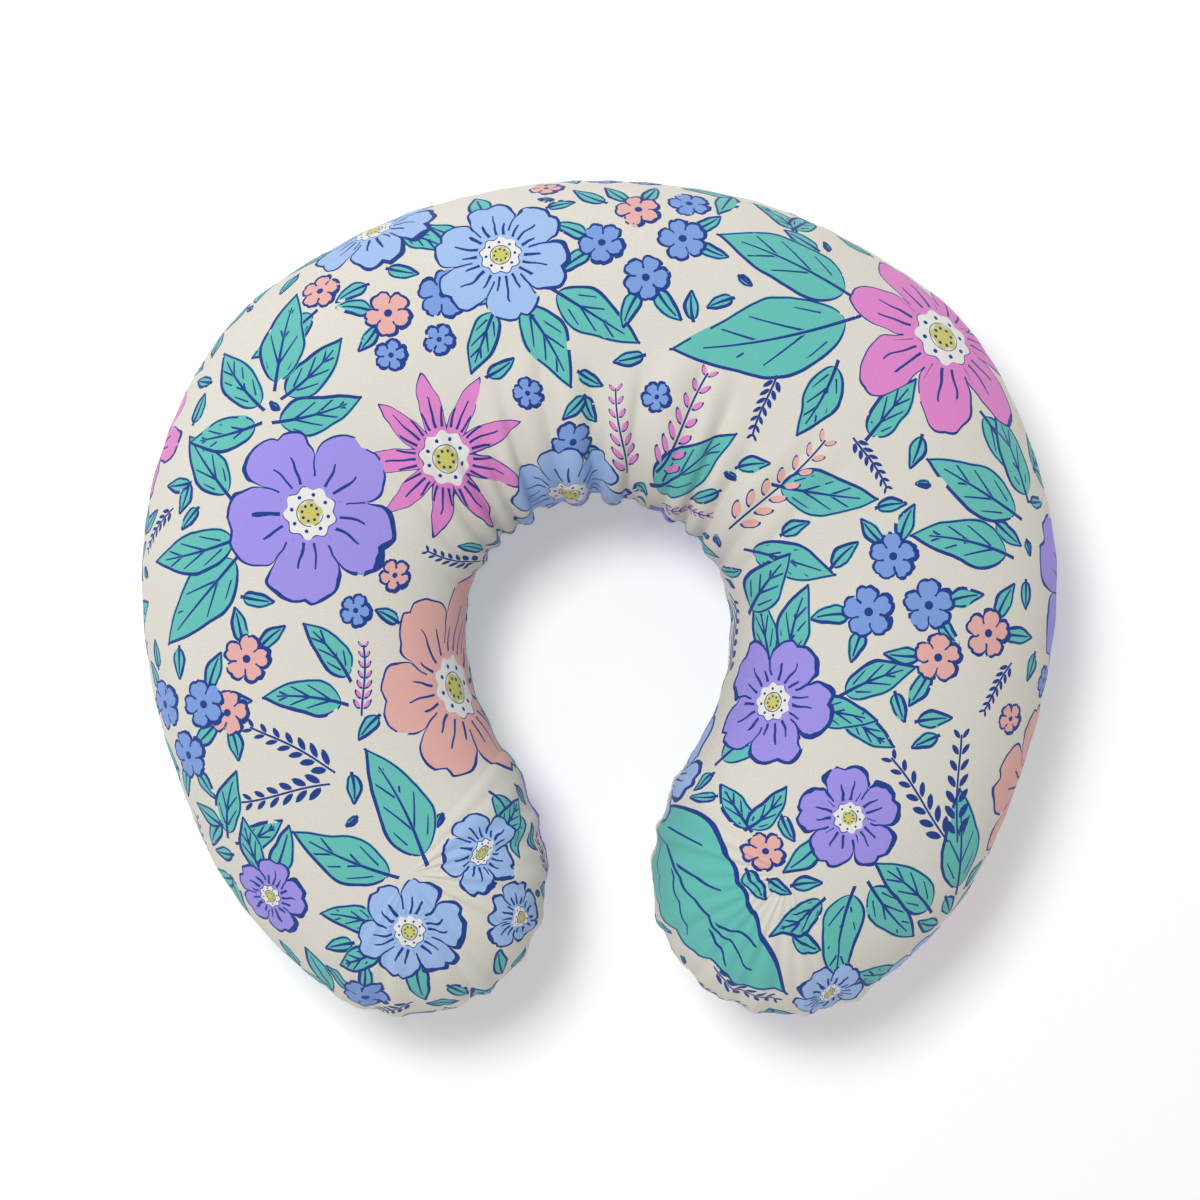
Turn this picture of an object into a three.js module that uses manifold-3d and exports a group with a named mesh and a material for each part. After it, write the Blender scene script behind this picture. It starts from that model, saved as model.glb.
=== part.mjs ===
// Nursing pillow: a C-shaped stuffed pillow in a removable zipped cover.
// Millimetres, +Z up. The origin is on the ground under the middle of the
// pillow's box; the crown of the C points to +Y and its opening to -Y.
//
// The body is a fan of rays. Each ray runs in plan from a spine (the pillow's
// highest line) out to its edge, and carries half of a rounded section. The
// rays go round the whole outline: outer edge, right tip, inner edge, left tip.

import * as THREE from 'three';
import { mergeVertices } from 'three/addons/utils/BufferGeometryUtils.js';
import Module from 'manifold-3d';

// ---------------------------------------------------------------- dimensions

// Plan. Angles are degrees from +Y (the crown) towards a tip.
const ringCentreY = -22.3;        // centre of the C
const tipAngle = 141.3;           // where the spine ends and the round tip starts
const crownCentreY = -84.8;       // centre of the flatter arc behind the crown
const crownRadius = 340;
const crownReach = 36;            // half-angle of that arc
const crownHalfWidth = 96;        // outer edge to spine, all along the crown
const outerEdge = [[58, 292], [80, 283], [105, 271.5], [125, 274.3], [tipAngle, 273.5]];
const innerEdge = [[0, 85.5], [53, 84], [89, 81], [106, 82], [124, 85.4], [tipAngle, 92]];
const tipEdge = [[0, 92.5], [40, 91.7], [90, 85.6], [125, 80.4], [145, 79.5], [162, 81.5], [180, 89]];

// Section.
const seamHeight = 76;            // height of the seam above the ground
const topRise = 84;               // seam to the top of the crown
const tipTopRise = 74;            // seam to the top at the tips
const bottomDrop = 80;            // seam to where the belly would reach unflattened
const roundness = 2.3;            // superellipse exponent of the section
const bandTop = 22;               // the flat zip band starts this far below the seam
const bandBottom = 49;            // and ends here

// Cloth layers, as depths below the cover's outer face.
const coverThickness = 0.5;
const linerDepth = 5;
const linerThickness = 0.3;
const coreDepth = 7;
const gap = 0.3;                  // clearance between pieces that touch
const threadRadius = 0.3;

// Zip, in degrees of the crown arc and in mm across (b) and outwards (c).
const tapeReach = 30;
const coilReach = 29;
const slotReach = 29.7;           // end of the opening in the cover
const sliderRest = 28;            // slider centre with the zip closed
const slotHalfWidth = 5.6;        // half-gap between the folded cover edges
const tapeInner = 0.9;
const tapeOuter = 13;
const tapeHalfThickness = 0.25;
const coilInner = 0.7;
const coilOuter = 3.3;
const coilBottom = 0.55;
const coilTop = 2.55;
const panelTop = 1.05;            // c of the cover's outer face
const stitchOffset = 7.4;
const stopStart = 29.1;
const stopEnd = 29.45;
const stopOuter = 3.9;
const stopTop = 2.75;
const tackStart = 29.9;
const tackEnd = 30.25;
const tackHalfWidth = 8;
const tackThickness = 0.8;
const labelStart = 30.9;
const labelEnd = 35.6;
const labelThickness = 0.3;
const careLabelLength = 42;
const linerLabelLength = 34;

// Mesh steps.
const crownStep = 3;              // degrees
const armSteps = 10;
const tipSteps = 9;
const innerCrownStep = 6;
const innerArmSteps = 6;
const innerTipSteps = 7;

// ------------------------------------------------------------------- outline

const degrees = Math.PI / 180;

// Smooth curve through [x, y] knots, with slopes taken from their neighbours.
// The slope at the start can be given, to carry on from another curve.
function curveThrough(knots, startSlope = null) {
  const slope = knots.map((knot, i) => {
    if (i === 0 && startSlope !== null) return startSlope;
    const before = knots[Math.max(i - 1, 0)];
    const after = knots[Math.min(i + 1, knots.length - 1)];
    return (after[1] - before[1]) / (after[0] - before[0]);
  });
  return (x) => {
    let i = 0;
    while (i < knots.length - 2 && x > knots[i + 1][0]) i += 1;
    const [x0, y0] = knots[i];
    const [x1, y1] = knots[i + 1];
    const width = x1 - x0;
    const t = (x - x0) / width;
    const rise = 3 * t * t - 2 * t * t * t;
    const start = t * (1 - t) * (1 - t) * width * slope[i];
    const end = t * t * (t - 1) * width * slope[i + 1];
    return y0 + (y1 - y0) * rise + start + end;
  };
}

function polar(centreY, radius, angle) {
  const turn = angle * degrees;
  return new THREE.Vector2(radius * Math.sin(turn), centreY + radius * Math.cos(turn));
}

function angleOf(point) {
  return Math.atan2(point.x, point.y - ringCentreY) / degrees;
}

function radiusOf(point) {
  return Math.hypot(point.x, point.y - ringCentreY);
}

const innerRadiusAt = curveThrough(innerEdge);
const tipRadiusAt = curveThrough(tipEdge);

// Inner edge point on the line from the crown arc's centre at an angle.
function innerPointBelow(angle) {
  let distance = crownRadius / 2;
  for (let pass = 0; pass < 40; pass += 1) {
    const point = polar(crownCentreY, distance, angle);
    distance += innerRadiusAt(angleOf(point)) - radiusOf(point);
  }
  return polar(crownCentreY, distance, angle);
}

// The stations from the middle of the crown to the start of the right tip.
function halfStations(step, steps) {
  const stations = [];
  for (let angle = 0; angle <= crownReach; angle += step) {
    const spine = polar(crownCentreY, crownRadius - crownHalfWidth, angle);
    const outer = polar(crownCentreY, crownRadius, angle);
    stations.push({ outer, inner: innerPointBelow(angle), spine, rise: topRise });
  }
  const last = stations[stations.length - 1];
  const outerStart = angleOf(last.outer);
  const innerStart = angleOf(last.inner);
  const arcEnd = radiusOf(last.outer);
  const arcSlope = arcEnd * Math.tan((outerStart - crownReach) * degrees) * degrees;
  const outerRadiusAt = curveThrough([[outerStart, arcEnd], ...outerEdge], arcSlope);
  const endHalfWidth = tipEdge[0][1];
  for (let i = 1; i <= steps; i += 1) {
    const share = i / steps;
    const outerAngle = outerStart + (tipAngle - outerStart) * share;
    const innerAngle = innerStart + (tipAngle - innerStart) * share;
    const outer = polar(ringCentreY, outerRadiusAt(outerAngle), outerAngle);
    const inner = polar(ringCentreY, innerRadiusAt(innerAngle), innerAngle);
    const halfWidth = crownHalfWidth + (endHalfWidth - crownHalfWidth) * share;
    const spine = outer.clone().add(inner.clone().sub(outer).setLength(halfWidth));
    stations.push({ outer, inner, spine, rise: topRise + (tipTopRise - topRise) * share * share });
  }
  return stations;
}

// Rays round the right tip, between its outer and inner stations.
function tipRays(centre, steps) {
  const rays = [];
  for (let i = 1; i < steps; i += 1) {
    const turn = (180 * i) / steps;
    const reach = polar(0, tipRadiusAt(turn), tipAngle + turn);
    rays.push({ spine: centre, edge: centre.clone().add(reach), rise: tipTopRise });
  }
  return rays;
}

function mirrored(ray) {
  const flip = (point) => new THREE.Vector2(-point.x, point.y);
  return { spine: flip(ray.spine), edge: flip(ray.edge), rise: ray.rise };
}

// All rays, clockwise from the middle of the crown's outer edge.
function outlineRays(step, arm, tip) {
  const stations = halfStations(step, arm);
  const right = stations.map(({ outer, spine, rise }) => ({ spine, edge: outer, rise }));
  right.push(...tipRays(stations.at(-1).spine, tip));
  right.push(...stations.map(({ inner, spine, rise }) => ({ spine, edge: inner, rise })).reverse());
  return [...right, ...right.slice(1, -1).reverse().map(mirrored)];
}

const coverRays = outlineRays(crownStep, armSteps, tipSteps);
const innerRays = outlineRays(innerCrownStep, innerArmSteps, innerTipSteps);

// ------------------------------------------------------------------- section

// Section angles that give a wanted drop below the seam.
function angleForDrop(drop) {
  return Math.asin((drop / bottomDrop) ** (roundness / 2)) / degrees;
}

const topAngles = [90, 68, 50, 34, 17, 0];
const bottomAngles = [0, angleForDrop(bandTop), angleForDrop(bandBottom), 52, angleForDrop(seamHeight), 90];

// Points [distance from the spine, height] of half a section, spine to edge
// or edge to spine, moved inwards by a depth with every side kept parallel.
function halfSection(angles, halfWidth, rise, depth) {
  const power = 2 / roundness;
  const points = angles.map((angle) => new THREE.Vector2(
    halfWidth * Math.cos(angle * degrees) ** power * (angle === 90 ? 0 : 1),
    Math.max(seamHeight + rise * Math.sin(angle * degrees) ** power, 0),
  ));
  const ground = Math.sign(rise);
  return points.map((point, i) => {
    if (angles[i] === 90) return new THREE.Vector2(0, point.y - ground * depth);
    if (angles[i] === 0) return new THREE.Vector2(point.x - depth, point.y);
    const side = (a, b) => new THREE.Vector2(Math.abs(b.y - a.y), ground * Math.abs(b.x - a.x)).normalize();
    const before = side(points[i - 1], point);
    const after = side(point, points[i + 1]);
    const corner = before.add(after).normalize();
    return point.clone().addScaledVector(corner, -depth / corner.dot(after));
  });
}

function placeOnRay(ray, distance, height) {
  const out = ray.edge.clone().sub(ray.spine).normalize();
  return new THREE.Vector3(ray.spine.x + out.x * distance, ray.spine.y + out.y * distance, height);
}

function sectionOnRay(ray, angles, rise, depth, seamShift) {
  const halfWidth = ray.edge.distanceTo(ray.spine);
  return halfSection(angles, halfWidth, rise, depth).map((point, i) => (
    placeOnRay(ray, point.x, point.y + (angles[i] === 0 ? seamShift : 0))
  ));
}

// -------------------------------------------------------------- mesh helpers

function toGeometry(triangles) {
  const positions = [];
  triangles.forEach((corners) => corners.forEach((corner) => positions.push(corner.x, corner.y, corner.z)));
  const raw = new THREE.BufferGeometry();
  raw.setAttribute('position', new THREE.Float32BufferAttribute(positions, 3));
  return withoutSlivers(mergeVertices(raw, 1e-3));
}

function withoutSlivers(geometry) {
  const index = [];
  const old = geometry.index.array;
  for (let i = 0; i < old.length; i += 3) {
    const [a, b, c] = [old[i], old[i + 1], old[i + 2]];
    if (a !== b && b !== c && c !== a) index.push(a, b, c);
  }
  geometry.setIndex(index);
  geometry.computeVertexNormals();
  return geometry;
}

// Triangles between neighbouring rings of points.
function skin(rings, closed) {
  const triangles = [];
  const count = closed ? rings.length : rings.length - 1;
  for (let i = 0; i < count; i += 1) {
    const here = rings[i];
    const next = rings[(i + 1) % rings.length];
    for (let j = 0; j < here.length - 1; j += 1) {
      triangles.push([here[j], here[j + 1], next[j + 1]], [here[j], next[j + 1], next[j]]);
    }
  }
  return triangles;
}

// A closed solid from equal rings: a loop of them, or a run with flat ends.
function sweep(rings, looped) {
  const closedRings = rings.map((ring) => [...ring, ring[0]]);
  const triangles = skin(closedRings, looped);
  if (!looped) {
    const first = rings[0];
    const last = rings.at(-1);
    const faces = THREE.ShapeUtils.triangulateShape(endOutline(first), []);
    faces.forEach(([a, b, c]) => triangles.push([first[c], first[b], first[a]], [last[a], last[b], last[c]]));
  }
  const geometry = toGeometry(triangles);
  return volumeOf(geometry) < 0 ? turnedOut(geometry) : geometry;
}

// A flat outline of an end ring, for filling it in.
function endOutline(ring) {
  const origin = ring[0];
  const across = ring[1].clone().sub(origin).normalize();
  const normal = new THREE.Vector3();
  ring.forEach((point, i) => {
    const next = ring[(i + 1) % ring.length];
    normal.add(point.clone().sub(origin).cross(next.clone().sub(origin)));
  });
  const up = normal.normalize().cross(across);
  return ring.map((point) => {
    const offset = point.clone().sub(origin);
    return new THREE.Vector2(offset.dot(across), offset.dot(up));
  });
}

function volumeOf(geometry) {
  const position = geometry.attributes.position;
  const index = geometry.index.array;
  const corner = (i) => new THREE.Vector3().fromBufferAttribute(position, index[i]);
  let volume = 0;
  for (let i = 0; i < index.length; i += 3) {
    volume += corner(i).dot(corner(i + 1).cross(corner(i + 2))) / 6;
  }
  return volume;
}

function turnedOut(geometry) {
  const index = geometry.index.array;
  for (let i = 0; i < index.length; i += 3) [index[i], index[i + 1]] = [index[i + 1], index[i]];
  geometry.computeVertexNormals();
  return geometry;
}

// ----------------------------------------------------------- pillow surfaces

// One fabric panel: outer face, inner face and the raw edge at the seam.
function panel(rays, isTop, depth, thickness) {
  const angles = isTop ? topAngles : [...bottomAngles].reverse();
  const seamShift = (isTop ? 1 : -1) * (gap / 2);
  const face = (layer) => rays.map((ray) => (
    sectionOnRay(ray, angles, isTop ? ray.rise : -bottomDrop, layer, seamShift)
  ));
  const outside = face(depth);
  const inside = face(depth + thickness);
  const rim = rays.map((_, i) => [outside[i].at(-1), inside[i].at(-1)]);
  const triangles = [...skin(outside, true), ...skin(rim, true)];
  skin(inside, true).forEach(([a, b, c]) => triangles.push([c, b, a]));
  const geometry = toGeometry(triangles);
  return volumeOf(geometry) < 0 ? turnedOut(geometry) : geometry;
}

// The stuffing: a closed body filling the liner.
function filling(rays, depth) {
  const rings = rays.map((ray) => [
    ...sectionOnRay(ray, topAngles, ray.rise, depth, 0),
    ...sectionOnRay(ray, bottomAngles, -bottomDrop, depth, 0).slice(1),
  ]);
  const geometry = toGeometry(skin(rings, true));
  return volumeOf(geometry) < 0 ? turnedOut(geometry) : geometry;
}

// Thread that runs along the seam at a depth below the cover's outer face.
function seamThread(rays, depth, looped) {
  const sides = 5;
  return sweep(rays.map((ray) => {
    const centre = ray.edge.distanceTo(ray.spine) - depth;
    return Array.from({ length: sides }, (_, k) => {
      const turn = (2 * Math.PI * k) / sides;
      const distance = centre + threadRadius * Math.cos(turn);
      return placeOnRay(ray, distance, seamHeight + threadRadius * Math.sin(turn));
    });
  }), looped);
}

// ------------------------------------------------------------------ zip band

// The band is one flat side of the section. In it, b runs up across the band,
// c runs outwards, and c = 0 is the middle of the zip tape.
const bandSection = halfSection(bottomAngles, crownHalfWidth, -bottomDrop, 0);
const bandUpper = bandSection[1];
const bandLower = bandSection[2];
const bandUp = bandUpper.clone().sub(bandLower).normalize();
const bandOut = new THREE.Vector2(bandUp.y, -bandUp.x);
const bandOrigin = bandUpper.clone().add(bandLower).multiplyScalar(0.5)
  .add(new THREE.Vector2(crownRadius - crownHalfWidth, 0))
  .addScaledVector(bandOut, -panelTop);

function onBand(angle, b, c) {
  const radius = bandOrigin.x + b * bandUp.x + c * bandOut.x;
  const plan = polar(crownCentreY, radius, angle);
  return new THREE.Vector3(plan.x, plan.y, bandOrigin.y + b * bandUp.y + c * bandOut.y);
}

// Angles from one end to another, meeting the cover's own stations between.
function arcAngles(from, to) {
  const inside = [];
  for (let angle = -crownReach; angle <= crownReach; angle += crownStep) {
    if (angle > from + 0.2 && angle < to - 0.2) inside.push(angle);
  }
  return [from, ...inside, to];
}

// A bar of constant section along the band: outline is a list of [b, c].
function bandBar(from, to, outline) {
  return sweep(arcAngles(from, to).map((angle) => outline.map(([b, c]) => onBand(angle, b, c))), false);
}

function rectangle(b0, b1, c0, c1) {
  return [[b0, c0], [b1, c0], [b1, c1], [b0, c1]];
}

function threadOutline(b, c) {
  const sides = 5;
  return Array.from({ length: sides }, (_, k) => {
    const turn = (2 * Math.PI * k) / sides;
    return [b + threadRadius * Math.cos(turn), c + threadRadius * Math.sin(turn)];
  });
}

// A sewn-in label: hangs from the seam and lies down the cover's outside.
function sewnLabel(from, to, depth, length) {
  const sheet = (layer) => {
    const side = halfSection(bottomAngles, crownHalfWidth, -bottomDrop, layer);
    const start = new THREE.Vector2().lerpVectors(side[0], side[1], 0.15);
    const run = side[1].distanceTo(start);
    const end = side[1].clone().addScaledVector(side[2].clone().sub(side[1]).normalize(), length - run);
    return [start, side[1], end];
  };
  const outline = [...sheet(depth), ...sheet(depth + labelThickness).reverse()];
  const spineToAxis = crownRadius - crownHalfWidth;
  return sweep(arcAngles(from, to).map((angle) => outline.map((point) => {
    const plan = polar(crownCentreY, point.x + spineToAxis, angle);
    return new THREE.Vector3(plan.x, plan.y, point.y);
  })), false);
}

// ------------------------------------------------------------------ booleans

const wasm = await Module();
wasm.setup();

function toSolid(geometry) {
  const bare = geometry.clone();
  bare.deleteAttribute('normal');
  bare.deleteAttribute('uv');
  const merged = mergeVertices(bare, 1e-4);
  return new wasm.Manifold(new wasm.Mesh({
    numProp: 3,
    vertProperties: new Float32Array(merged.attributes.position.array),
    triVerts: new Uint32Array(merged.index.array),
  }));
}

function fromSolid(solid) {
  const mesh = solid.getMesh();
  const geometry = new THREE.BufferGeometry();
  geometry.setAttribute('position', new THREE.Float32BufferAttribute(mesh.vertProperties, 3));
  geometry.setIndex(new THREE.Uint32BufferAttribute(mesh.triVerts, 1));
  return geometry;
}

function joined(geometries) {
  return fromSolid(geometries.map(toSolid).reduce((sum, solid) => sum.add(solid)));
}

// -------------------------------------------------------------------- slider

// The slider and its pull are drawn in their own frame: x along the zip
// towards its closed end, y down across it (against b) and z outwards (c).
const plateHalfLength = 5.5;
const plateHalfWidth = 4.9;
const topPlate = [3.1, 4.3];
const bottomPlate = [-1.75, -0.75];
const flangeInner = 3.9;
const flangeBottom = 0.8;
const postHalfWidth = 0.35;
const postLength = 3;
const bridgeHalfLength = 3.65;
const bridgeHalfWidth = 0.8;
const bridgeWall = 0.9;
const bridgeTop = 7.9;
const pinHeight = 5.5;
const pinRadius = 0.7;
const tabHalfThickness = 0.55;
const tabLength = 24;
const tabWindow = 6.5;
const tabHalfWidth = 2.9;
const tabWindowHalfWidth = 1.5;

function box(x0, x1, y0, y1, z0, z1) {
  const geometry = new THREE.BoxGeometry(x1 - x0, y1 - y0, z1 - z0);
  return geometry.translate((x0 + x1) / 2, (y0 + y1) / 2, (z0 + z1) / 2);
}

// A plate with an outline that narrows towards one end, as a slider's does.
function sliderPlate(bottom, top) {
  const nose = plateHalfWidth * 0.62;
  const shape = new THREE.Shape();
  shape.moveTo(-plateHalfLength, -nose);
  shape.quadraticCurveTo(-plateHalfLength * 0.2, -nose, plateHalfLength * 0.25, -plateHalfWidth);
  shape.lineTo(plateHalfLength, -plateHalfWidth);
  shape.lineTo(plateHalfLength, plateHalfWidth);
  shape.lineTo(plateHalfLength * 0.25, plateHalfWidth);
  shape.quadraticCurveTo(-plateHalfLength * 0.2, nose, -plateHalfLength, nose);
  const depth = top - bottom;
  const geometry = new THREE.ExtrudeGeometry(shape, { depth, bevelEnabled: false, curveSegments: 4 });
  return geometry.translate(0, 0, bottom);
}

function sliderBody() {
  const overlap = 0.1;
  const [topLow, topHigh] = topPlate;
  const parts = [sliderPlate(...topPlate), sliderPlate(...bottomPlate)];
  [-1, 1].forEach((side) => {
    const inner = side > 0 ? flangeInner : -plateHalfWidth;
    const outer = inner + plateHalfWidth - flangeInner;
    parts.push(box(plateHalfLength * 0.25, plateHalfLength, inner, outer, flangeBottom, topLow + overlap));
  });
  const postStart = plateHalfLength - postLength;
  const postLow = bottomPlate[1] - overlap;
  parts.push(box(postStart, plateHalfLength, -postHalfWidth, postHalfWidth, postLow, topLow + overlap));
  const bridgeBar = (x0, x1, z0) => box(x0, x1, -bridgeHalfWidth, bridgeHalfWidth, z0, bridgeTop);
  parts.push(bridgeBar(-bridgeHalfLength, bridgeWall - bridgeHalfLength, topHigh - overlap));
  parts.push(bridgeBar(bridgeHalfLength - bridgeWall, bridgeHalfLength, topHigh - overlap));
  parts.push(bridgeBar(-bridgeHalfLength, bridgeHalfLength, bridgeTop - bridgeWall));
  return joined(parts);
}

// The pull: a pin through the bridge, two side bars and a rounded tab.
function pullTab() {
  const shape = new THREE.Shape();
  const start = pinRadius + 0.2;
  const straight = tabLength - tabHalfWidth;
  shape.moveTo(start, -tabHalfWidth);
  shape.lineTo(start, tabHalfWidth);
  shape.lineTo(-straight, tabHalfWidth);
  shape.absarc(-straight, 0, tabHalfWidth, Math.PI / 2, (3 * Math.PI) / 2, false);
  shape.closePath();
  const depth = 2 * tabHalfThickness;
  const plate = new THREE.ExtrudeGeometry(shape, { depth, bevelEnabled: false, curveSegments: 6 });
  plate.translate(0, 0, -tabHalfThickness);
  const window = box(-tabWindow, start + 1, -tabWindowHalfWidth, tabWindowHalfWidth, -2, 2);
  const pin = new THREE.CylinderGeometry(pinRadius, pinRadius, 2 * tabHalfWidth - 0.4, 12);
  const frame = toSolid(plate).subtract(toSolid(window));
  return fromSolid(frame.add(toSolid(pin)));
}

// Puts a frame of its own at an angle of the zip's arc.
function zipFrame(angle) {
  const frame = new THREE.Group();
  const origin = onBand(angle, 0, 0);
  const across = onBand(angle, -1, 0).sub(origin);
  const out = onBand(angle, 0, 1).sub(origin);
  const along = across.clone().cross(out);
  frame.applyMatrix4(new THREE.Matrix4().makeBasis(along, across, out).setPosition(origin));
  return frame;
}

// ------------------------------------------------------------------ materials

function material(color, roughness, metalness = 0) {
  return new THREE.MeshStandardMaterial({ color, roughness, metalness });
}

const printedCotton = material(0xece6d9, 0.85);
const linerCotton = material(0xf7f6f2, 0.9);
const polyesterFill = material(0xffffff, 1);
const thread = material(0xe9e3d4, 0.7);
const zipTape = material(0xe8e2d4, 0.8);
const zipCoil = material(0xefeade, 0.4);
const zipMetal = material(0xb9bcc0, 0.3, 1);
const labelSatin = material(0xfafafa, 0.5);

const group = new THREE.Group();

function add(parent, name, geometry, finish) {
  const mesh = new THREE.Mesh(geometry, finish);
  mesh.name = name;
  parent.add(mesh);
}

// -------------------------------------------------------------- cover and fill

const coverBottom = panel(coverRays, false, 0, coverThickness);
const slot = bandBar(-slotReach, slotReach, rectangle(-slotHalfWidth, slotHalfWidth, -1, 3));

add(group, 'cover_top_panel', panel(coverRays, true, 0, coverThickness), printedCotton);
add(group, 'cover_bottom_panel', fromSolid(toSolid(coverBottom).subtract(toSolid(slot))), printedCotton);
add(group, 'cover_seam_thread', seamThread(coverRays, coverThickness + gap + threadRadius, true), thread);
add(group, 'liner_top_panel', panel(innerRays, true, linerDepth, linerThickness), linerCotton);
add(group, 'liner_bottom_panel', panel(innerRays, false, linerDepth, linerThickness), linerCotton);
const linerThreadDepth = linerDepth + linerThickness + gap + threadRadius;
add(group, 'liner_seam_thread', seamThread(innerRays, linerThreadDepth, true), thread);
add(group, 'fiberfill_core', filling(innerRays, coreDepth), polyesterFill);

// The liner is closed by hand along a stretch of the right arm's outer seam.
const closingStart = crownReach / innerCrownStep + 1;
const closingRays = innerRays.slice(closingStart, closingStart + 4);
const closingDepth = linerDepth - gap - threadRadius;
add(group, 'liner_closing_stitch', seamThread(closingRays, closingDepth, false), thread);

const careLabelDepth = -gap - labelThickness;
const linerLabelDepth = linerDepth - gap - labelThickness;
add(group, 'care_label', sewnLabel(labelStart, labelEnd, careLabelDepth, careLabelLength), labelSatin);
add(group, 'liner_label', sewnLabel(-labelEnd, -labelStart, linerLabelDepth, linerLabelLength), labelSatin);

// ------------------------------------------------------------------------ zip

const stitchHeight = panelTop + gap + threadRadius;
[['upper', 1], ['lower', -1]].forEach(([name, side]) => {
  const tape = rectangle(side * tapeInner, side * tapeOuter, -tapeHalfThickness, tapeHalfThickness);
  const coil = rectangle(side * coilInner, side * coilOuter, coilBottom, coilTop);
  const stop = rectangle(side * coilInner, side * stopOuter, coilBottom, stopTop);
  const stitches = threadOutline(side * stitchOffset, stitchHeight);
  add(group, `zip_tape_${name}`, bandBar(-tapeReach, tapeReach, tape), zipTape);
  add(group, `zip_coil_${name}`, bandBar(-coilReach, coilReach, coil), zipCoil);
  add(group, `zip_stitch_${name}`, bandBar(-slotReach, slotReach, stitches), thread);
  add(group, `zip_top_stop_${name}`, bandBar(stopStart, stopEnd, stop), zipMetal);
});
const bottomStop = rectangle(-stopOuter, stopOuter, coilBottom, stopTop);
add(group, 'zip_bottom_stop', bandBar(-stopEnd, -stopStart, bottomStop), zipMetal);

// Bar tacks close the ends of the opening, on the cover.
const tackBottom = panelTop + gap;
const tackOutline = rectangle(-tackHalfWidth, tackHalfWidth, tackBottom, tackBottom + tackThickness);
add(group, 'zip_bar_tack_closed_end', bandBar(tackStart, tackEnd, tackOutline), thread);
add(group, 'zip_bar_tack_open_end', bandBar(-tackEnd, -tackStart, tackOutline), thread);

const sliderFrame = zipFrame(sliderRest);
add(sliderFrame, 'zip_slider_body', sliderBody(), zipMetal);
const pullFrame = new THREE.Group();
pullFrame.position.set(0, 0, pinHeight);
add(pullFrame, 'zip_pull_tab', pullTab(), zipMetal);
sliderFrame.add(pullFrame);
group.add(sliderFrame);

export default group;
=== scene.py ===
"""Nursing pillow: a printed cotton cover with a zip, over a stuffed liner.

The cover is a fan of rays, as in the CAD model: each ray runs from the spine,
the pillow's highest line, out to the seam, and carries half of a rounded
section. A cloth simulation puffs that surface up, and the print is drawn by
the material from where each motif lies on the cloth.
"""

import math

import bmesh
import bpy
import numpy as np
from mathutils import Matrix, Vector


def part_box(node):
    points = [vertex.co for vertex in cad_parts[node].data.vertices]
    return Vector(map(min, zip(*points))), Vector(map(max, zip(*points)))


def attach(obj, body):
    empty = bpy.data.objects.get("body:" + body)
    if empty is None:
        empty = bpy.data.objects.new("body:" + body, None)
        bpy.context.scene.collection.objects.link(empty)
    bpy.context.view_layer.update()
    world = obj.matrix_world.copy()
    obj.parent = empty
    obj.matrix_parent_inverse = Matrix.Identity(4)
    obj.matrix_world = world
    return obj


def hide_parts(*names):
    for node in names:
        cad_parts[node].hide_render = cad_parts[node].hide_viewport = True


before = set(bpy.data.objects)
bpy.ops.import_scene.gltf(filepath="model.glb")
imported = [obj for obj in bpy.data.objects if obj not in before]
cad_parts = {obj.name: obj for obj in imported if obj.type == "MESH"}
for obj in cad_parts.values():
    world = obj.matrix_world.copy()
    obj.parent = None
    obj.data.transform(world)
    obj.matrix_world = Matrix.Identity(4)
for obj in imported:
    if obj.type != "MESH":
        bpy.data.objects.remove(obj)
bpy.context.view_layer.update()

MM = 0.001

# ------------------------------------------------------------ driving values

# Plan of the pillow, as the CAD draws it. Angles in degrees, lengths in mm.
RING_Y = -22.3
TIP_ANGLE = 141.3
CROWN_Y = -84.8
CROWN_RADIUS = 340.0
CROWN_REACH = 36.0
CROWN_HALF_WIDTH = 96.0
OUTER_EDGE = [(58, 292), (80, 283), (105, 271.5), (125, 274.3), (TIP_ANGLE, 273.5)]
INNER_EDGE = [(0, 85.5), (53, 84), (89, 81), (106, 82), (124, 85.4), (TIP_ANGLE, 92)]
TIP_EDGE = [(0, 92.5), (40, 91.7), (90, 85.6), (125, 80.4), (145, 79.5), (162, 81.5), (180, 89)]
TIP_RISE_SHARE = 74 / 84
INNER_LIMIT = 150.0

# Section, from the frame.
SEAM_GAP = 0.3
SEAM_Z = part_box("cover_top_panel")[0].z / MM - SEAM_GAP / 2
TOP_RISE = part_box("cover_top_panel")[1].z / MM - SEAM_Z
BELLY_DROP = 80.0
ROUNDNESS = 2.3
CLOTH = 0.6

# Zip band, as in the CAD: b runs up across it, c outwards, from the tape's middle.
BAND_TOP = 22.0
BAND_BOTTOM = 49.0
PANEL_C = 1.05
SLOT_HALF = 5.6
SLOT_REACH = 30.0
COIL_REACH = 29.0
STITCH_B = 7.4
SLIDER_REST = 28.0
TAPE_REACH = 30.0
TAPE_INNER = 0.9
TAPE_OUTER = 13.0
TAPE_HALF_THICKNESS = 0.25
LABEL_START = 30.9
LABEL_END = 35.6

# Grids: the simulated one takes every second ray of the fine one.
CROWN_RAYS = 60
ARM_RAYS = 110
TIP_RAYS = 72
SIM_ROWS = 18
SIM_STEPS = 20
SIM_CAP = 11.0
RAY_STEP = CROWN_REACH / CROWN_RAYS


def srgb(red, green, blue):
    """A linear RGBA colour from 8-bit sRGB values."""
    def linear(value):
        value /= 255
        return value / 12.92 if value <= 0.04045 else ((value + 0.055) / 1.055) ** 2.4
    return (linear(red), linear(green), linear(blue), 1.0)


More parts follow.
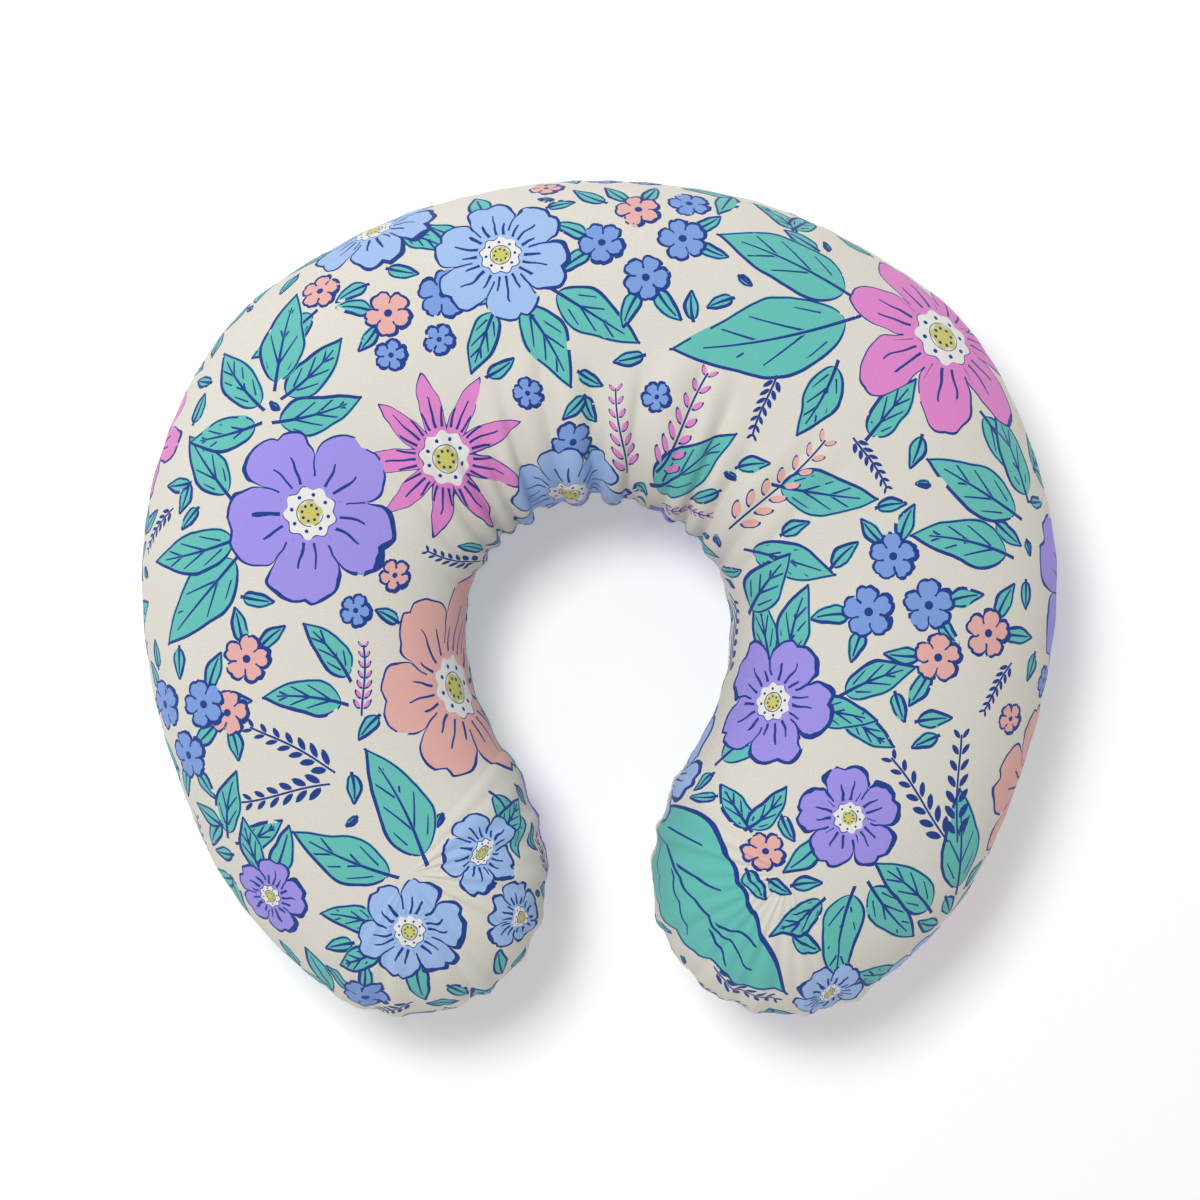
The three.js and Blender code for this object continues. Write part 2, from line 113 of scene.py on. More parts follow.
CREAM = srgb(231, 227, 216)
NAVY = srgb(34, 66, 146)
TEAL = srgb(106, 200, 190)
SKY = srgb(168, 200, 246)
AZURE = srgb(130, 166, 230)
LILAC = srgb(168, 154, 242)
PINK = srgb(234, 142, 212)
PEACH = srgb(240, 184, 176)
LEMON = srgb(216, 210, 110)
WHITE = srgb(244, 243, 240)
THREAD = srgb(240, 235, 223)

# ------------------------------------------------------------------- outline


def curve_through(knots, start_slope=None):
    """A smooth curve through (x, y) knots, with slopes taken from their neighbours."""
    xs, ys = np.array(knots, float).T
    before = np.maximum(np.arange(len(xs)) - 1, 0)
    after = np.minimum(np.arange(len(xs)) + 1, len(xs) - 1)
    slopes = (ys[after] - ys[before]) / (xs[after] - xs[before])
    if start_slope is not None:
        slopes[0] = start_slope

    def value(x):
        i = np.clip(np.searchsorted(xs, x, side="right") - 1, 0, len(xs) - 2)
        width = xs[i + 1] - xs[i]
        t = (x - xs[i]) / width
        rise = t * t * (3 - 2 * t)
        start = t * (1 - t) ** 2 * width * slopes[i]
        end = t * t * (t - 1) * width * slopes[i + 1]
        return ys[i] + (ys[i + 1] - ys[i]) * rise + start + end

    return value


def polar(centre_y, radius, angle):
    """A plan point at an angle from +Y about (0, centre_y)."""
    turn = np.radians(angle)
    return np.stack([radius * np.sin(turn), centre_y + radius * np.cos(turn)], -1)


def angle_about(centre_y, points):
    """The angle of points from +Y about (0, centre_y)."""
    return np.degrees(np.arctan2(points[..., 0], points[..., 1] - centre_y))


def ring_angle(points):
    return angle_about(RING_Y, points)


def ring_radius(points):
    return np.hypot(points[..., 0], points[..., 1] - RING_Y)


inner_radius = curve_through(INNER_EDGE)
tip_radius = curve_through(TIP_EDGE)

# Rounds of closing in on the inner edge, and of smoothing the spine.
CLOSING_IN = 60
SPINE_ROUNDS = 220


def inner_point(angle):
    """Where the line from the crown arc's centre meets the inner edge."""
    distance = CROWN_RADIUS / 2
    for _ in range(CLOSING_IN):
        point = polar(CROWN_Y, distance, angle)
        distance += inner_radius(ring_angle(point)) - ring_radius(point)
    return polar(CROWN_Y, distance, angle)


def half_stations():
    """Outer, spine and inner points of the right half's stations, crown to tip."""
    outer, spine, inner = [], [], []
    for angle in np.linspace(0, CROWN_REACH, CROWN_RAYS + 1):
        outer.append(polar(CROWN_Y, CROWN_RADIUS, angle))
        spine.append(polar(CROWN_Y, CROWN_RADIUS - CROWN_HALF_WIDTH, angle))
        inner.append(inner_point(angle))
    outer_start, inner_start = ring_angle(outer[-1]), ring_angle(inner[-1])
    arc_radius = ring_radius(outer[-1])
    arc_slope = arc_radius * np.tan(np.radians(outer_start - CROWN_REACH)) * np.pi / 180
    outer_radius = curve_through([(outer_start, arc_radius), *OUTER_EDGE], arc_slope)
    for share in np.arange(1, ARM_RAYS + 1) / ARM_RAYS:
        outer_angle = outer_start + (TIP_ANGLE - outer_start) * share
        inner_angle = inner_start + (TIP_ANGLE - inner_start) * share
        o = polar(RING_Y, outer_radius(outer_angle), outer_angle)
        i = polar(RING_Y, inner_radius(inner_angle), inner_angle)
        half = CROWN_HALF_WIDTH + (TIP_EDGE[0][1] - CROWN_HALF_WIDTH) * share
        outer.append(o)
        inner.append(i)
        spine.append(o + (i - o) * half / np.hypot(*(i - o)))
    return np.array(outer), evened_spine(np.array(spine)), np.array(inner)


def evened_spine(spine):
    """Rounds the spine off where the crown's arc meets the arm."""
    count = np.arange(len(spine))
    free = np.clip((count - CROWN_RAYS * 0.85) / (CROWN_RAYS * 0.15), 0, 1)[1:-1, None]
    for _ in range(SPINE_ROUNDS):
        bend = spine[:-2] - 2 * spine[1:-1] + spine[2:]
        spine[1:-1] += 0.25 * free * bend
    return spine


def outline_rays():
    """All rays, clockwise from the crown's outer edge: spine and edge points and rise shares."""
    outer, spine, inner = half_stations()
    share = np.clip((np.arange(len(spine)) - CROWN_RAYS) / ARM_RAYS, 0, 1)
    rise = 1 + (TIP_RISE_SHARE - 1) * share**2
    turns = 180 * np.arange(1, TIP_RAYS) / TIP_RAYS
    reach = tip_radius(turns)[:, None] * polar(0, 1, TIP_ANGLE + turns)
    tip = np.repeat(spine[-1:], len(turns), 0)
    spines = np.concatenate([spine, tip, spine[::-1]])
    edges = np.concatenate([outer, tip + reach, inner[::-1]])
    rises = np.concatenate([rise, np.full(len(turns), TIP_RISE_SHARE), rise[::-1]])
    flip = np.array([-1, 1])
    back = slice(-2, 0, -1)
    return (
        np.concatenate([spines, spines[back] * flip]),
        np.concatenate([edges, edges[back] * flip]),
        np.concatenate([rises, rises[back]]),
    )


SPINE, EDGE, RISE = outline_rays()
RAYS = len(SPINE)
SPINE_OF = np.unique(np.round(SPINE, 6), axis=0, return_inverse=True)[1].reshape(-1)
HALF_WIDTH = np.hypot(*(EDGE - SPINE).T)
OUT = (EDGE - SPINE) / HALF_WIDTH[:, None]
OUT_FLAT = np.concatenate([OUT, np.zeros((RAYS, 1))], 1)
ALONG = np.cumsum(np.hypot(*(EDGE - np.roll(EDGE, 1, 0)).T))
RING_ANGLE = ring_angle(EDGE)
IS_INNER = (ring_radius(EDGE) < INNER_LIMIT) & (np.abs(RING_ANGLE) < TIP_ANGLE)
IS_TIP = np.isclose(np.abs(SPINE), np.abs(SPINE[CROWN_RAYS + ARM_RAYS])).all(1)

# ------------------------------------------------------------------- section


def section(half_width, rise, shares):
    """Points (distance from the spine, height) at shares of the way from spine to seam."""
    turn = np.radians(np.linspace(90, 0, 400))
    power = 2 / ROUNDNESS
    out = half_width * np.abs(np.cos(turn)) ** power
    up = np.maximum(SEAM_Z + rise * np.sin(turn) ** power, 0)
    out[0] = 0
    run = np.concatenate([[0], np.cumsum(np.hypot(np.diff(out), np.diff(up)))])
    at = np.asarray(shares) * run[-1]
    return np.interp(at, run, out), np.interp(at, run, up), run[-1]


def surface(shares, top):
    """Grid of points, rays by rows, in mm, and each ray's length from spine to seam."""
    points = np.zeros((RAYS, len(shares), 3))
    lengths = np.zeros(RAYS)
    for i in range(RAYS):
        rise = TOP_RISE * RISE[i] if top else -BELLY_DROP
        out, up, lengths[i] = section(HALF_WIDTH[i], rise, shares)
        points[i, :, :2] = SPINE[i] + OUT[i] * out[:, None]
        points[i, :, 2] = up
    return points, lengths


def normals_of(points, top):
    """Outward unit normals of a grid of points."""
    along = np.roll(points, -1, 0) - np.roll(points, 1, 0)
    down = np.gradient(points, axis=1)
    side = 1 if top else -1
    normal = np.cross(along, down)
    length = np.linalg.norm(normal, axis=2, keepdims=True)
    normal = normal / np.maximum(length, 1e-9) * side
    normal[:, 0] = (0, 0, side)
    return normal


def seam_distance(shares, lengths):
    """How far along the cloth each row of each ray is from the seam."""
    return (1 - np.asarray(shares))[None, :] * lengths[:, None]


def smoothstep(low, high, value):
    """0 at low and 1 at high, with a smooth rise between; low may be the larger."""
    t = np.clip((value - low) / (high - low), 0, 1)
    return t * t * (3 - 2 * t)


# ------------------------------------------------------------------ puckers


# Depths in mm. The folds' valleys stay just outside the liner.
RIPPLE_DROP = 0.75
PUCKER_DEPTH = 3.1
FOLD_DEPTH = 5.4
FOLD_VALLEY = 0.35


def ripple(spacing, jitter, seed):
    """A wave along the outline, about -0.75 to 1.25, whose spacing (mm) wanders."""
    dice = np.random.default_rng(seed)
    total = ALONG[-1]
    count = int(round(total / spacing))
    steps = 1 + jitter * (dice.random(count) - 0.5)
    knots = np.concatenate([[0], np.cumsum(steps)]) / steps.sum() * total
    heights = 0.55 + 0.45 * dice.random(count)
    cell = np.clip(np.searchsorted(knots, ALONG, side="right") - 1, 0, count - 1)
    inside = (ALONG - knots[cell]) / (knots[cell + 1] - knots[cell])
    return (1 - np.cos(2 * np.pi * inside)) * heights[cell] - RIPPLE_DROP


def pucker_strength():
    """How gathered the cloth is at each ray: most at the inner crown, then the tips."""
    crown = smoothstep(66, 22, np.abs(RING_ANGLE)) * IS_INNER
    arms = 0.30 * IS_INNER
    tip = np.where(IS_TIP, smoothstep(105, 150, np.abs(RING_ANGLE)), 0) * 0.55
    return np.maximum(np.maximum(crown, arms), np.maximum(tip, 0.14))


def fold_strength():
    """How deep the radial folds are at each ray: most round the inner crown, and less at the tips."""
    tip = np.where(IS_TIP, smoothstep(105, 150, np.abs(RING_ANGLE)), 0)
    return np.maximum(smoothstep(84, 44, np.abs(RING_ANGLE)) * IS_INNER, 0.3 * tip)


GATHER = pucker_strength()
LONG_PUCKERS = ripple(30, 0.7, 3)
SHORT_PUCKERS = ripple(13, 0.8, 5)
FOLD_STRENGTH = fold_strength()
FOLD_PUFFS = np.sqrt(ripple(17, 0.9, 8) + RIPPLE_DROP) - FOLD_VALLEY
FOLD_REACH = ripple(47, 0.8, 9)


def puckered(points, lengths, shares, top):
    """Radial folds that fan out from the seam and fade towards the spine."""
    from_seam = seam_distance(shares, lengths)
    reach = 34 + 70 * GATHER[:, None]
    fade = np.exp(-((from_seam / reach) ** 2)) * (0.45 + 0.55 * smoothstep(0, 16, from_seam))
    depth = PUCKER_DEPTH * (GATHER * LONG_PUCKERS)[:, None] * fade
    depth = depth * smoothstep(0, 0.2, np.asarray(shares))
    return points + normals_of(points, top) * depth[..., None]


def lumps(points, size, height, seed):
    """Slow swells, as stuffing makes: a few plane waves with seeded directions."""
    dice = np.random.default_rng(seed)
    total = np.zeros(points.shape[:-1])
    for _ in range(9):
        direction = dice.normal(size=3)
        direction /= np.linalg.norm(direction)
        wave = 2 * np.pi / (size * (0.7 + 0.8 * dice.random()))
        total += np.sin(points @ direction * wave + dice.random() * 6.28)
    return height * total / 3


# ---------------------------------------------------------------- simulation


def catmull(before, start, end, after, t):
    """Catmull-Rom value between start and end."""
    return 0.5 * (
        2 * start
        + (end - before) * t
        + (2 * before - 5 * start + 4 * end - after) * t**2
        + (3 * start - before - 3 * end + after) * t**3
    )


def refined(offsets, shares):
    """Offsets on the simulated grid, brought to every ray and to the given shares."""
    previous, following, next_one = (np.roll(offsets, k, 0) for k in (1, -1, -2))
    middle = catmull(previous, offsets, following, next_one, 0.5)
    rays = np.stack([offsets, middle], 1).reshape(RAYS, *offsets.shape[1:])
    mirror = rays[:, 1:2] * np.array([-1, -1, 1])
    rays = np.concatenate([mirror, rays, 2 * rays[:, -1:] - rays[:, -2:-1]], 1)
    place = np.asarray(shares) * SIM_ROWS
    row = np.clip(place.astype(int), 0, SIM_ROWS - 1)
    t = (place - row)[None, :, None]
    return catmull(rays[:, row], rays[:, row + 1], rays[:, row + 2], rays[:, row + 3], t)


def grid_numbers(rows):
    """Vertex numbers of a grid whose first row is the spine, shared by facing rays."""
    groups = int(SPINE_OF.max()) + 1
    number = groups + np.arange(RAYS * (rows - 1)).reshape(RAYS, rows - 1)
    return np.concatenate([SPINE_OF[:, None], number], 1)


def grid_faces(number, outward):
    """Quads, and triangles at the tips, of a grid of vertex numbers."""
    following = np.roll(number, -1, 0)
    quad = np.stack([number[:, :-1], following[:, :-1], following[:, 1:], number[:, 1:]], -1)
    quad = (quad if outward else quad[..., ::-1]).reshape(-1, 4)
    whole = np.array([len(set(q)) == 4 for q in quad.tolist()])
    corners = [[v for k, v in enumerate(q) if v != q[k - 1]] for q in quad[~whole].tolist()]
    return quad[whole], np.array([c for c in corners if len(c) == 3]).reshape(-1, 3)


def face_list(number, outward):
    """The faces of a grid of vertex numbers, as lists."""
    return [face for kind in grid_faces(number, outward) for face in kind.tolist()]


def packed(number):
    """The same vertex numbers, without gaps."""
    return np.unique(number, return_inverse=True)[1].reshape(number.shape)


def coarse_numbers():
    """Vertex numbers of one simulated panel."""
    return packed(grid_numbers(SIM_ROWS + 1)[::2])


def closed_numbers():
    """Vertex numbers of the simulated top and bottom panels, joined at the seam."""
    upper = coarse_numbers()
    lower = upper + upper.max() + 1
    lower[:, -1] = upper[:, -1]
    return packed(np.stack([upper, lower]))


def grid_points(points, number):
    """Vertex positions of a grid, with the spine's shared points averaged."""
    count = number.max() + 1
    total = np.zeros((count, points.shape[-1]))
    np.add.at(total, number.reshape(-1), points.reshape(-1, points.shape[-1]))
    uses = np.bincount(number.reshape(-1), minlength=count)
    return total / np.maximum(uses, 1)[:, None]


def puffed(top, bottom, held):
    """The two grids after a cloth simulation with pressure; held is 1 where a point is pinned."""
    number = closed_numbers()
    points = grid_points(np.stack([top, bottom]), number)
    pins = np.zeros(len(points))
    np.maximum.at(pins, number.reshape(-1), held.reshape(-1))
    faces = face_list(number[0], True) + face_list(number[1], False)
    mesh = bpy.data.meshes.new("puff")
    mesh.from_pydata((points * MM).tolist(), [], faces)
    cloth_object = bpy.data.objects.new("puff", mesh)
    bpy.context.scene.collection.objects.link(cloth_object)
    group = cloth_object.vertex_groups.new(name="pin")
    for weight in np.unique(np.round(pins, 2)):
        chosen = np.flatnonzero(np.round(pins, 2) == weight).tolist()
        group.add(chosen, float(weight), "REPLACE")
    modifier = cloth_object.modifiers.new("Cloth", "CLOTH")
    settings = modifier.settings
    settings.quality = 6
    settings.mass = 0.25
    settings.tension_stiffness = settings.compression_stiffness = 18
    settings.shear_stiffness = 8
    settings.bending_stiffness = 0.6
    settings.tension_damping = settings.compression_damping = 12
    settings.vertex_group_mass = "pin"
    settings.use_pressure = True
    settings.uniform_pressure_force = 4
    settings.effector_weights.gravity = 0
    modifier.collision_settings.use_collision = False
    scene = bpy.context.scene
    for step in range(SIM_STEPS):
        scene.frame_set(step + 1)
    moved = cloth_object.evaluated_get(bpy.context.evaluated_depsgraph_get()).data
    after = np.zeros(len(points) * 3)
    moved.vertices.foreach_get("co", after)
    scene.frame_set(1)
    bpy.data.objects.remove(cloth_object)
    shift = after.reshape(-1, 3) / MM - points
    size = np.linalg.norm(shift, axis=1, keepdims=True)
    shift *= np.tanh(size / SIM_CAP) * SIM_CAP / np.maximum(size, 1e-9)
    return (points + shift)[number[0]], (points + shift)[number[1]]


# ------------------------------------------------------------------ zip band

crown_out, crown_up, crown_length = section(CROWN_HALF_WIDTH, -BELLY_DROP, np.linspace(0, 1, 4001))
upper_row = np.argmin(np.abs(crown_up - (SEAM_Z - BAND_TOP)))
lower_row = np.argmin(np.abs(crown_up - (SEAM_Z - BAND_BOTTOM)))
BAND_UPPER = np.array([crown_out[upper_row], crown_up[upper_row]])
BAND_LOWER = np.array([crown_out[lower_row], crown_up[lower_row]])
BAND_UP = (BAND_UPPER - BAND_LOWER) / np.linalg.norm(BAND_UPPER - BAND_LOWER)
BAND_OUT = np.array([BAND_UP[1], -BAND_UP[0]])
BAND_ORIGIN = (BAND_UPPER + BAND_LOWER) / 2 - BAND_OUT * PANEL_C
BAND_ORIGIN = BAND_ORIGIN + np.array([CROWN_RADIUS - CROWN_HALF_WIDTH, 0])
BAND_SHARE = (upper_row + lower_row) / 2 / 4000


def on_band(angle, b, c):
    """Points (mm) on the zip band at crown angles, b across and c outwards."""
    angle, b, c = np.broadcast_arrays(np.asarray(angle, float), b, c)
    radius = BAND_ORIGIN[0] + b * BAND_UP[0] + c * BAND_OUT[0]
    height = BAND_ORIGIN[1] + b * BAND_UP[1] + c * BAND_OUT[1]
    return np.concatenate([polar(CROWN_Y, radius, angle), height[..., None]], -1)


def band_place(points):
    """The crown angle, b and c of points."""
    angle = angle_about(CROWN_Y, points)
    radius = np.hypot(points[..., 0], points[..., 1] - CROWN_Y) - BAND_ORIGIN[0]
    height = points[..., 2] - BAND_ORIGIN[1]
    b = radius * BAND_UP[0] + height * BAND_UP[1]
    c = radius * BAND_OUT[0] + height * BAND_OUT[1]
    return angle, b, c


def near_zip(points):
    """1 on the zip band, fading to 0 round it."""
    angle, b, c = band_place(points)
    return (
        smoothstep(38, 33, np.abs(angle))
        * smoothstep(26, 15, np.abs(b))
        * smoothstep(30, 20, np.abs(c))
    )


# Rows of the finished cover, as shares of the way from spine to seam.
SEAM_ROWS = np.array([9.0, 6.2, 4.2, 2.8, 1.7, 0.8, 0.0])
HALF_BAND = [SLOT_HALF, 6.5, 7.4, 8.3, 9.6, 12, 15.0]
BAND_ROWS = np.array([-b for b in HALF_BAND[::-1]] + [0] + HALF_BAND)
CELL = 3.7


def even_rows(start, end, last=False):
    """Rows about CELL apart from start to end; the end itself only where it is asked for."""
    count = max(2, int(round(abs(end - start) / CELL)))
    rows = np.linspace(start, end, count + 1)
    return rows if last else rows[:-1]


def top_rows(length):
    """Shares of the top panel's rows; length is a crown ray's, in mm."""
    seam = length - SEAM_ROWS
    return np.concatenate([even_rows(0, seam[0]), seam]) / length


def bottom_rows(length):
    """Shares of the bottom panel's rows, with the band's among them."""
    band = BAND_SHARE * length + BAND_ROWS
    seam = length - SEAM_ROWS
    return np.concatenate([even_rows(0, band[0]), band[:-1], even_rows(band[-1], seam[0]), seam]) / length


def seam_groove(points, lengths, shares, top):
    """Pulls the cloth in along the seam, where the two panels are sewn together."""
    from_seam = seam_distance(shares, lengths)
    pull = 2.6 * np.exp(-((from_seam / 2.6) ** 1.3))
    normal = normals_of(points, top)
    normal[:, -1] = OUT_FLAT
    points = points - normal * pull[..., None]
    lift = (SEAM_GAP / 2) * np.exp(-((from_seam / 1.5) ** 2))
    points[..., 2] += lift * (1 if top else -1)
    return points


def seam_allowance(points, top):
    """Two more rows: the cut edge that turns in behind the seam."""
    last = points[:, -1]
    side = np.array([0, 0, 1 if top else -1])
    rows = [last - OUT_FLAT * depth + side * 0.12 for depth in (2.2, 5.5)]
    return np.concatenate([points, np.stack(rows, 1)], 1)


def cover_grids():
    """The finished outer faces of the two cover panels, and the simulated coarse ones."""
    sim_shares = np.arange(SIM_ROWS + 1) / SIM_ROWS
    base, lengths = zip(*(surface(sim_shares, top) for top in (True, False)))
    start = [puckered(base[k], lengths[k], sim_shares, k == 0) for k in (0, 1)]
    middle = np.array([0, 0, SEAM_Z])
    for k in (0, 1):
        normal = normals_of(start[k], k == 0)
        start[k] = start[k] + normal * lumps(start[k], 120, 0.8, 11)[..., None]
        start[k] = middle + (start[k] - middle) * np.array([1, 1, 0.955])
        start[k][:, -1] = base[k][:, -1]
        start[k][:, 0] = grid_points(start[k][:, 0], SPINE_OF)[SPINE_OF]
    grids = [grid[::2] for grid in start]
    held = np.stack([np.zeros(grid.shape[:2]) for grid in grids])
    held[:, :, -1] = 1
    held[1] = np.maximum(held[1], near_zip(grids[1]))
    held[1] = np.maximum(held[1], 0.9 * smoothstep(6, 1, grids[1][..., 2]))
    grids = list(puffed(grids[0], grids[1], held))
    fine = []
    for k, rows in ((0, top_rows), (1, bottom_rows)):
        shares = rows(crown_length if k else lengths[0][0])
        smooth, run = surface(shares, k == 0)
        offsets = refined(grids[k] - base[k][::2], shares)
        points = smooth + offsets
        fold = near_short_puckers(shares, run) + crown_folds(shares, run)
        fold *= smoothstep(0, 0.15, shares)
        points = points + normals_of(points, k == 0) * fold[..., None]
        points = seam_groove(points, run, shares, k == 0)
        points[..., 2] = np.maximum(points[..., 2], 0)
        if k == 1:
            points = with_zip_band(points, shares)
        fine.append((points, shares, run))
    return fine, grids


def crown_folds(shares, run):
    """Soft radial folds where the cloth is gathered round the inner crown and the tips."""
    from_seam = seam_distance(shares, run)
    reach = 120 + 30 * FOLD_REACH[:, None]
    along = smoothstep(2, 20, from_seam) * smoothstep(reach + 34, reach - 34, from_seam)
    return FOLD_DEPTH * (FOLD_STRENGTH * FOLD_PUFFS)[:, None] * along


def near_short_puckers(shares, run):
    """Small gathers along the seam, finer than the simulated grid can hold."""
    from_seam = seam_distance(shares, run)
    near = np.exp(-((from_seam / 9) ** 2)) * smoothstep(0, 2.5, from_seam)
    return 0.5 * (0.3 + GATHER[:, None]) * near * SHORT_PUCKERS[:, None]


def with_zip_band(points, shares):
    """Lays the rows beside the zip exactly on the band, with a raised double-folded hem."""
    b_rows = (shares - BAND_SHARE) * crown_length
    angle = angle_about(CROWN_Y, EDGE)[:, None]
    b = np.broadcast_to(b_rows[None, :], points.shape[:2])
    hem = 0.35 * smoothstep(STITCH_B + 1.2, STITCH_B + 0.2, np.abs(b))
    dent = 0.30 * np.exp(-(((np.abs(b) - STITCH_B) / 0.6) ** 2))
    flat = on_band(angle, b, PANEL_C + hem - dent)
    outer = (~IS_INNER & ~IS_TIP)[:, None]
    weight = smoothstep(SLOT_REACH + 3, SLOT_REACH + 0.7, np.abs(angle)) * outer
    weight = weight * smoothstep(19, 13, np.abs(b))
    return points + (flat - points) * weight[..., None]


# ------------------------------------------------------------------- meshes


def new_object(name, points, faces, materials, body="pillow"):
    """A smooth-shaded piece from points in mm, riding on a body."""
    mesh = bpy.data.meshes.new(name)
    mesh.from_pydata((np.asarray(points) * MM).tolist(), [], [list(map(int, f)) for f in faces])
    mesh.shade_smooth()
    piece = bpy.data.objects.new(name, mesh)
    bpy.context.scene.collection.objects.link(piece)
    for material in materials:
        mesh.materials.append(material)
    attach(piece, body)
    return piece


def vertex_normals(points, faces):
    """Unit normals at the points of a mesh."""
    mesh = bpy.data.meshes.new("normals")
    mesh.from_pydata(points.tolist(), [], [list(map(int, f)) for f in faces])
    normals = np.zeros(len(points) * 3)
    mesh.vertex_normals.foreach_get("vector", normals)
    bpy.data.meshes.remove(mesh)
    return normals.reshape(-1, 3)


def open_edges(faces):
    """Directed edges that only one face uses."""
    edges = {}
    for face in faces:
        for k, end in enumerate(face):
            edges[(face[k - 1], end)] = True
    return [edge for edge in edges if (edge[1], edge[0]) not in edges]


def thickened(points, faces, thickness):
    """A closed cloth: the faces, their copies inside, and the rims. Returns how many are outside."""
    inner = points - vertex_normals(points, faces) * thickness
    count = len(points)
    faces = [list(map(int, face)) for face in faces]
    back = [[v + count for v in face[::-1]] for face in faces]
    rims = [[b, a, a + count, b + count] for a, b in open_edges(faces)]
    return np.concatenate([points, inner]), faces + back + rims, len(faces)


def tube(path, radius, sides=6, flat=1.0, up=None):
    """Points and faces of a capped tube along a path; flat squeezes it along up."""
    path = np.asarray(path, float)
    ahead = np.gradient(path, axis=0)
    ahead /= np.linalg.norm(ahead, axis=1, keepdims=True)
    guide = np.broadcast_to(np.array([0.0, 0, 1]) if up is None else np.asarray(up), path.shape)
    side = np.cross(ahead, guide)
    side /= np.linalg.norm(side, axis=1, keepdims=True)
    lift = np.cross(side, ahead)
    radius = np.broadcast_to(radius, len(path))[:, None, None]
    turn = 2 * np.pi * np.arange(sides) / sides
    ring = side[:, None] * np.cos(turn)[:, None] + lift[:, None] * np.sin(turn)[:, None] * flat
    points = (path[:, None] + ring * radius).reshape(-1, 3)
    faces = []
    for i in range(len(path) - 1):
        for k in range(sides):
            a, b = i * sides + k, i * sides + (k + 1) % sides
            faces.append([a, b, b + sides, a + sides])
    faces.append(list(range(sides))[::-1])
    faces.append([len(points) - sides + k for k in range(sides)])
    return points, faces


def gathered(parts):
    """Several (points, faces) as one."""
    points, faces, count = [], [], 0
    for some, their in parts:
        points.append(some)
        faces.extend([[v + count for v in face] for face in their])
        count += len(some)
    return np.concatenate(points), faces


def run_of(line):
    """How far along a line each of its points is."""
    return np.concatenate([[0], np.cumsum(np.linalg.norm(np.diff(line, axis=0), axis=1))])


def read_at(place, run, values):
    """Vectors given along a run, at other places of it."""
    return np.stack([np.interp(place, run, column) for column in values.T], -1)


def stitches(line, out, pitch, length, radius, sink=0.1, sides=6):
    """Separate stitches along a line of points, each a short arched thread."""
    run = run_of(line)
    share = np.array([0, 0.08, 0.3, 0.5, 0.7, 0.92, 1])
    arch = np.array([-0.9, -0.1, 0.55, 0.7, 0.55, -0.1, -0.9]) * radius - sink
    thick = radius * np.array([0.55, 0.9, 1, 1, 1, 0.9, 0.55])
    parts = []
    for start in np.arange(0, run[-1] - length, pitch):
        place = start + share * length
        normal = read_at(place, run, out)
        normal /= np.linalg.norm(normal, axis=1, keepdims=True)
        parts.append(tube(read_at(place, run, line) + normal * arch[:, None], thick, sides, up=normal))
    return gathered(parts)


# ------------------------------------------------------------ material terms


def math_method(operation, flipped=False):
    """A method of Term that adds one math node."""
    def method(self, *others):
        return self.make(operation, *others, flipped=flipped)
    return method


class Term:
    """A value in a node tree. Arithmetic on it adds math nodes, so a pattern reads as a formula."""

    def __init__(self, tree, socket):
        self.tree = tree
        self.socket = socket

    def make(self, operation, *others, flipped=False):
        node = self.tree.nodes.new("ShaderNodeMath")
        node.operation = operation
        values = (*others, self) if flipped else (self, *others)
        for entry, value in zip(node.inputs, values):
            put(self.tree, entry, value)
        return Term(self.tree, node.outputs[0])

    __add__ = __radd__ = math_method("ADD")
    __mul__ = __rmul__ = math_method("MULTIPLY")
    __sub__ = math_method("SUBTRACT")
    __rsub__ = math_method("SUBTRACT", flipped=True)
    __truediv__ = math_method("DIVIDE")
    __pow__ = math_method("POWER")
    __lt__ = math_method("LESS_THAN")
    __gt__ = math_method("GREATER_THAN")
    __abs__ = math_method("ABSOLUTE")
    fract = math_method("FRACT")
    cos = math_method("COSINE")
    sin = math_method("SINE")
    root = math_method("SQRT")
    most = math_method("MAXIMUM")


def put(tree, entry, value):
    """Links a term, or sets a constant, on an input."""
    if isinstance(value, Term):
        tree.links.new(value.socket, entry)
    else:
        entry.default_value = value


def length_of(x, y):
    return (x * x + y * y).root()


def new_material(name):
    material = bpy.data.materials.new(name)
    material.use_nodes = True
    tree = material.node_tree
    return material, tree, tree.nodes["Principled BSDF"]


def numbers_of(tree, vector):
    """The three numbers of a vector socket."""
    split = tree.nodes.new("ShaderNodeSeparateXYZ")
    tree.links.new(vector, split.inputs[0])
    return [Term(tree, out) for out in split.outputs]


def read_attribute(tree, name):
    """The three numbers and the colour of a mesh attribute."""
    node = tree.nodes.new("ShaderNodeAttribute")
    node.attribute_name = name
    return numbers_of(tree, node.outputs["Vector"]), node.outputs["Color"]


def object_place(tree):
    return tree.nodes.new("ShaderNodeTexCoord").outputs["Object"]


def noise(tree, vector, scale, detail=2.0):
    """Three smooth random numbers, about 0.5, at a vector socket or x, y, z terms."""
    node = tree.nodes.new("ShaderNodeTexNoise")
    node.inputs["Scale"].default_value = scale
    node.inputs["Detail"].default_value = detail
    if isinstance(vector, tuple):
        join = tree.nodes.new("ShaderNodeCombineXYZ")
        for entry, value in zip(join.inputs, vector):
            put(tree, entry, value)
        vector = join.outputs[0]
    tree.links.new(vector, node.inputs["Vector"])
    split = tree.nodes.new("ShaderNodeSeparateColor")
    tree.links.new(node.outputs["Color"], split.inputs[0])
    return [Term(tree, out) for out in split.outputs]


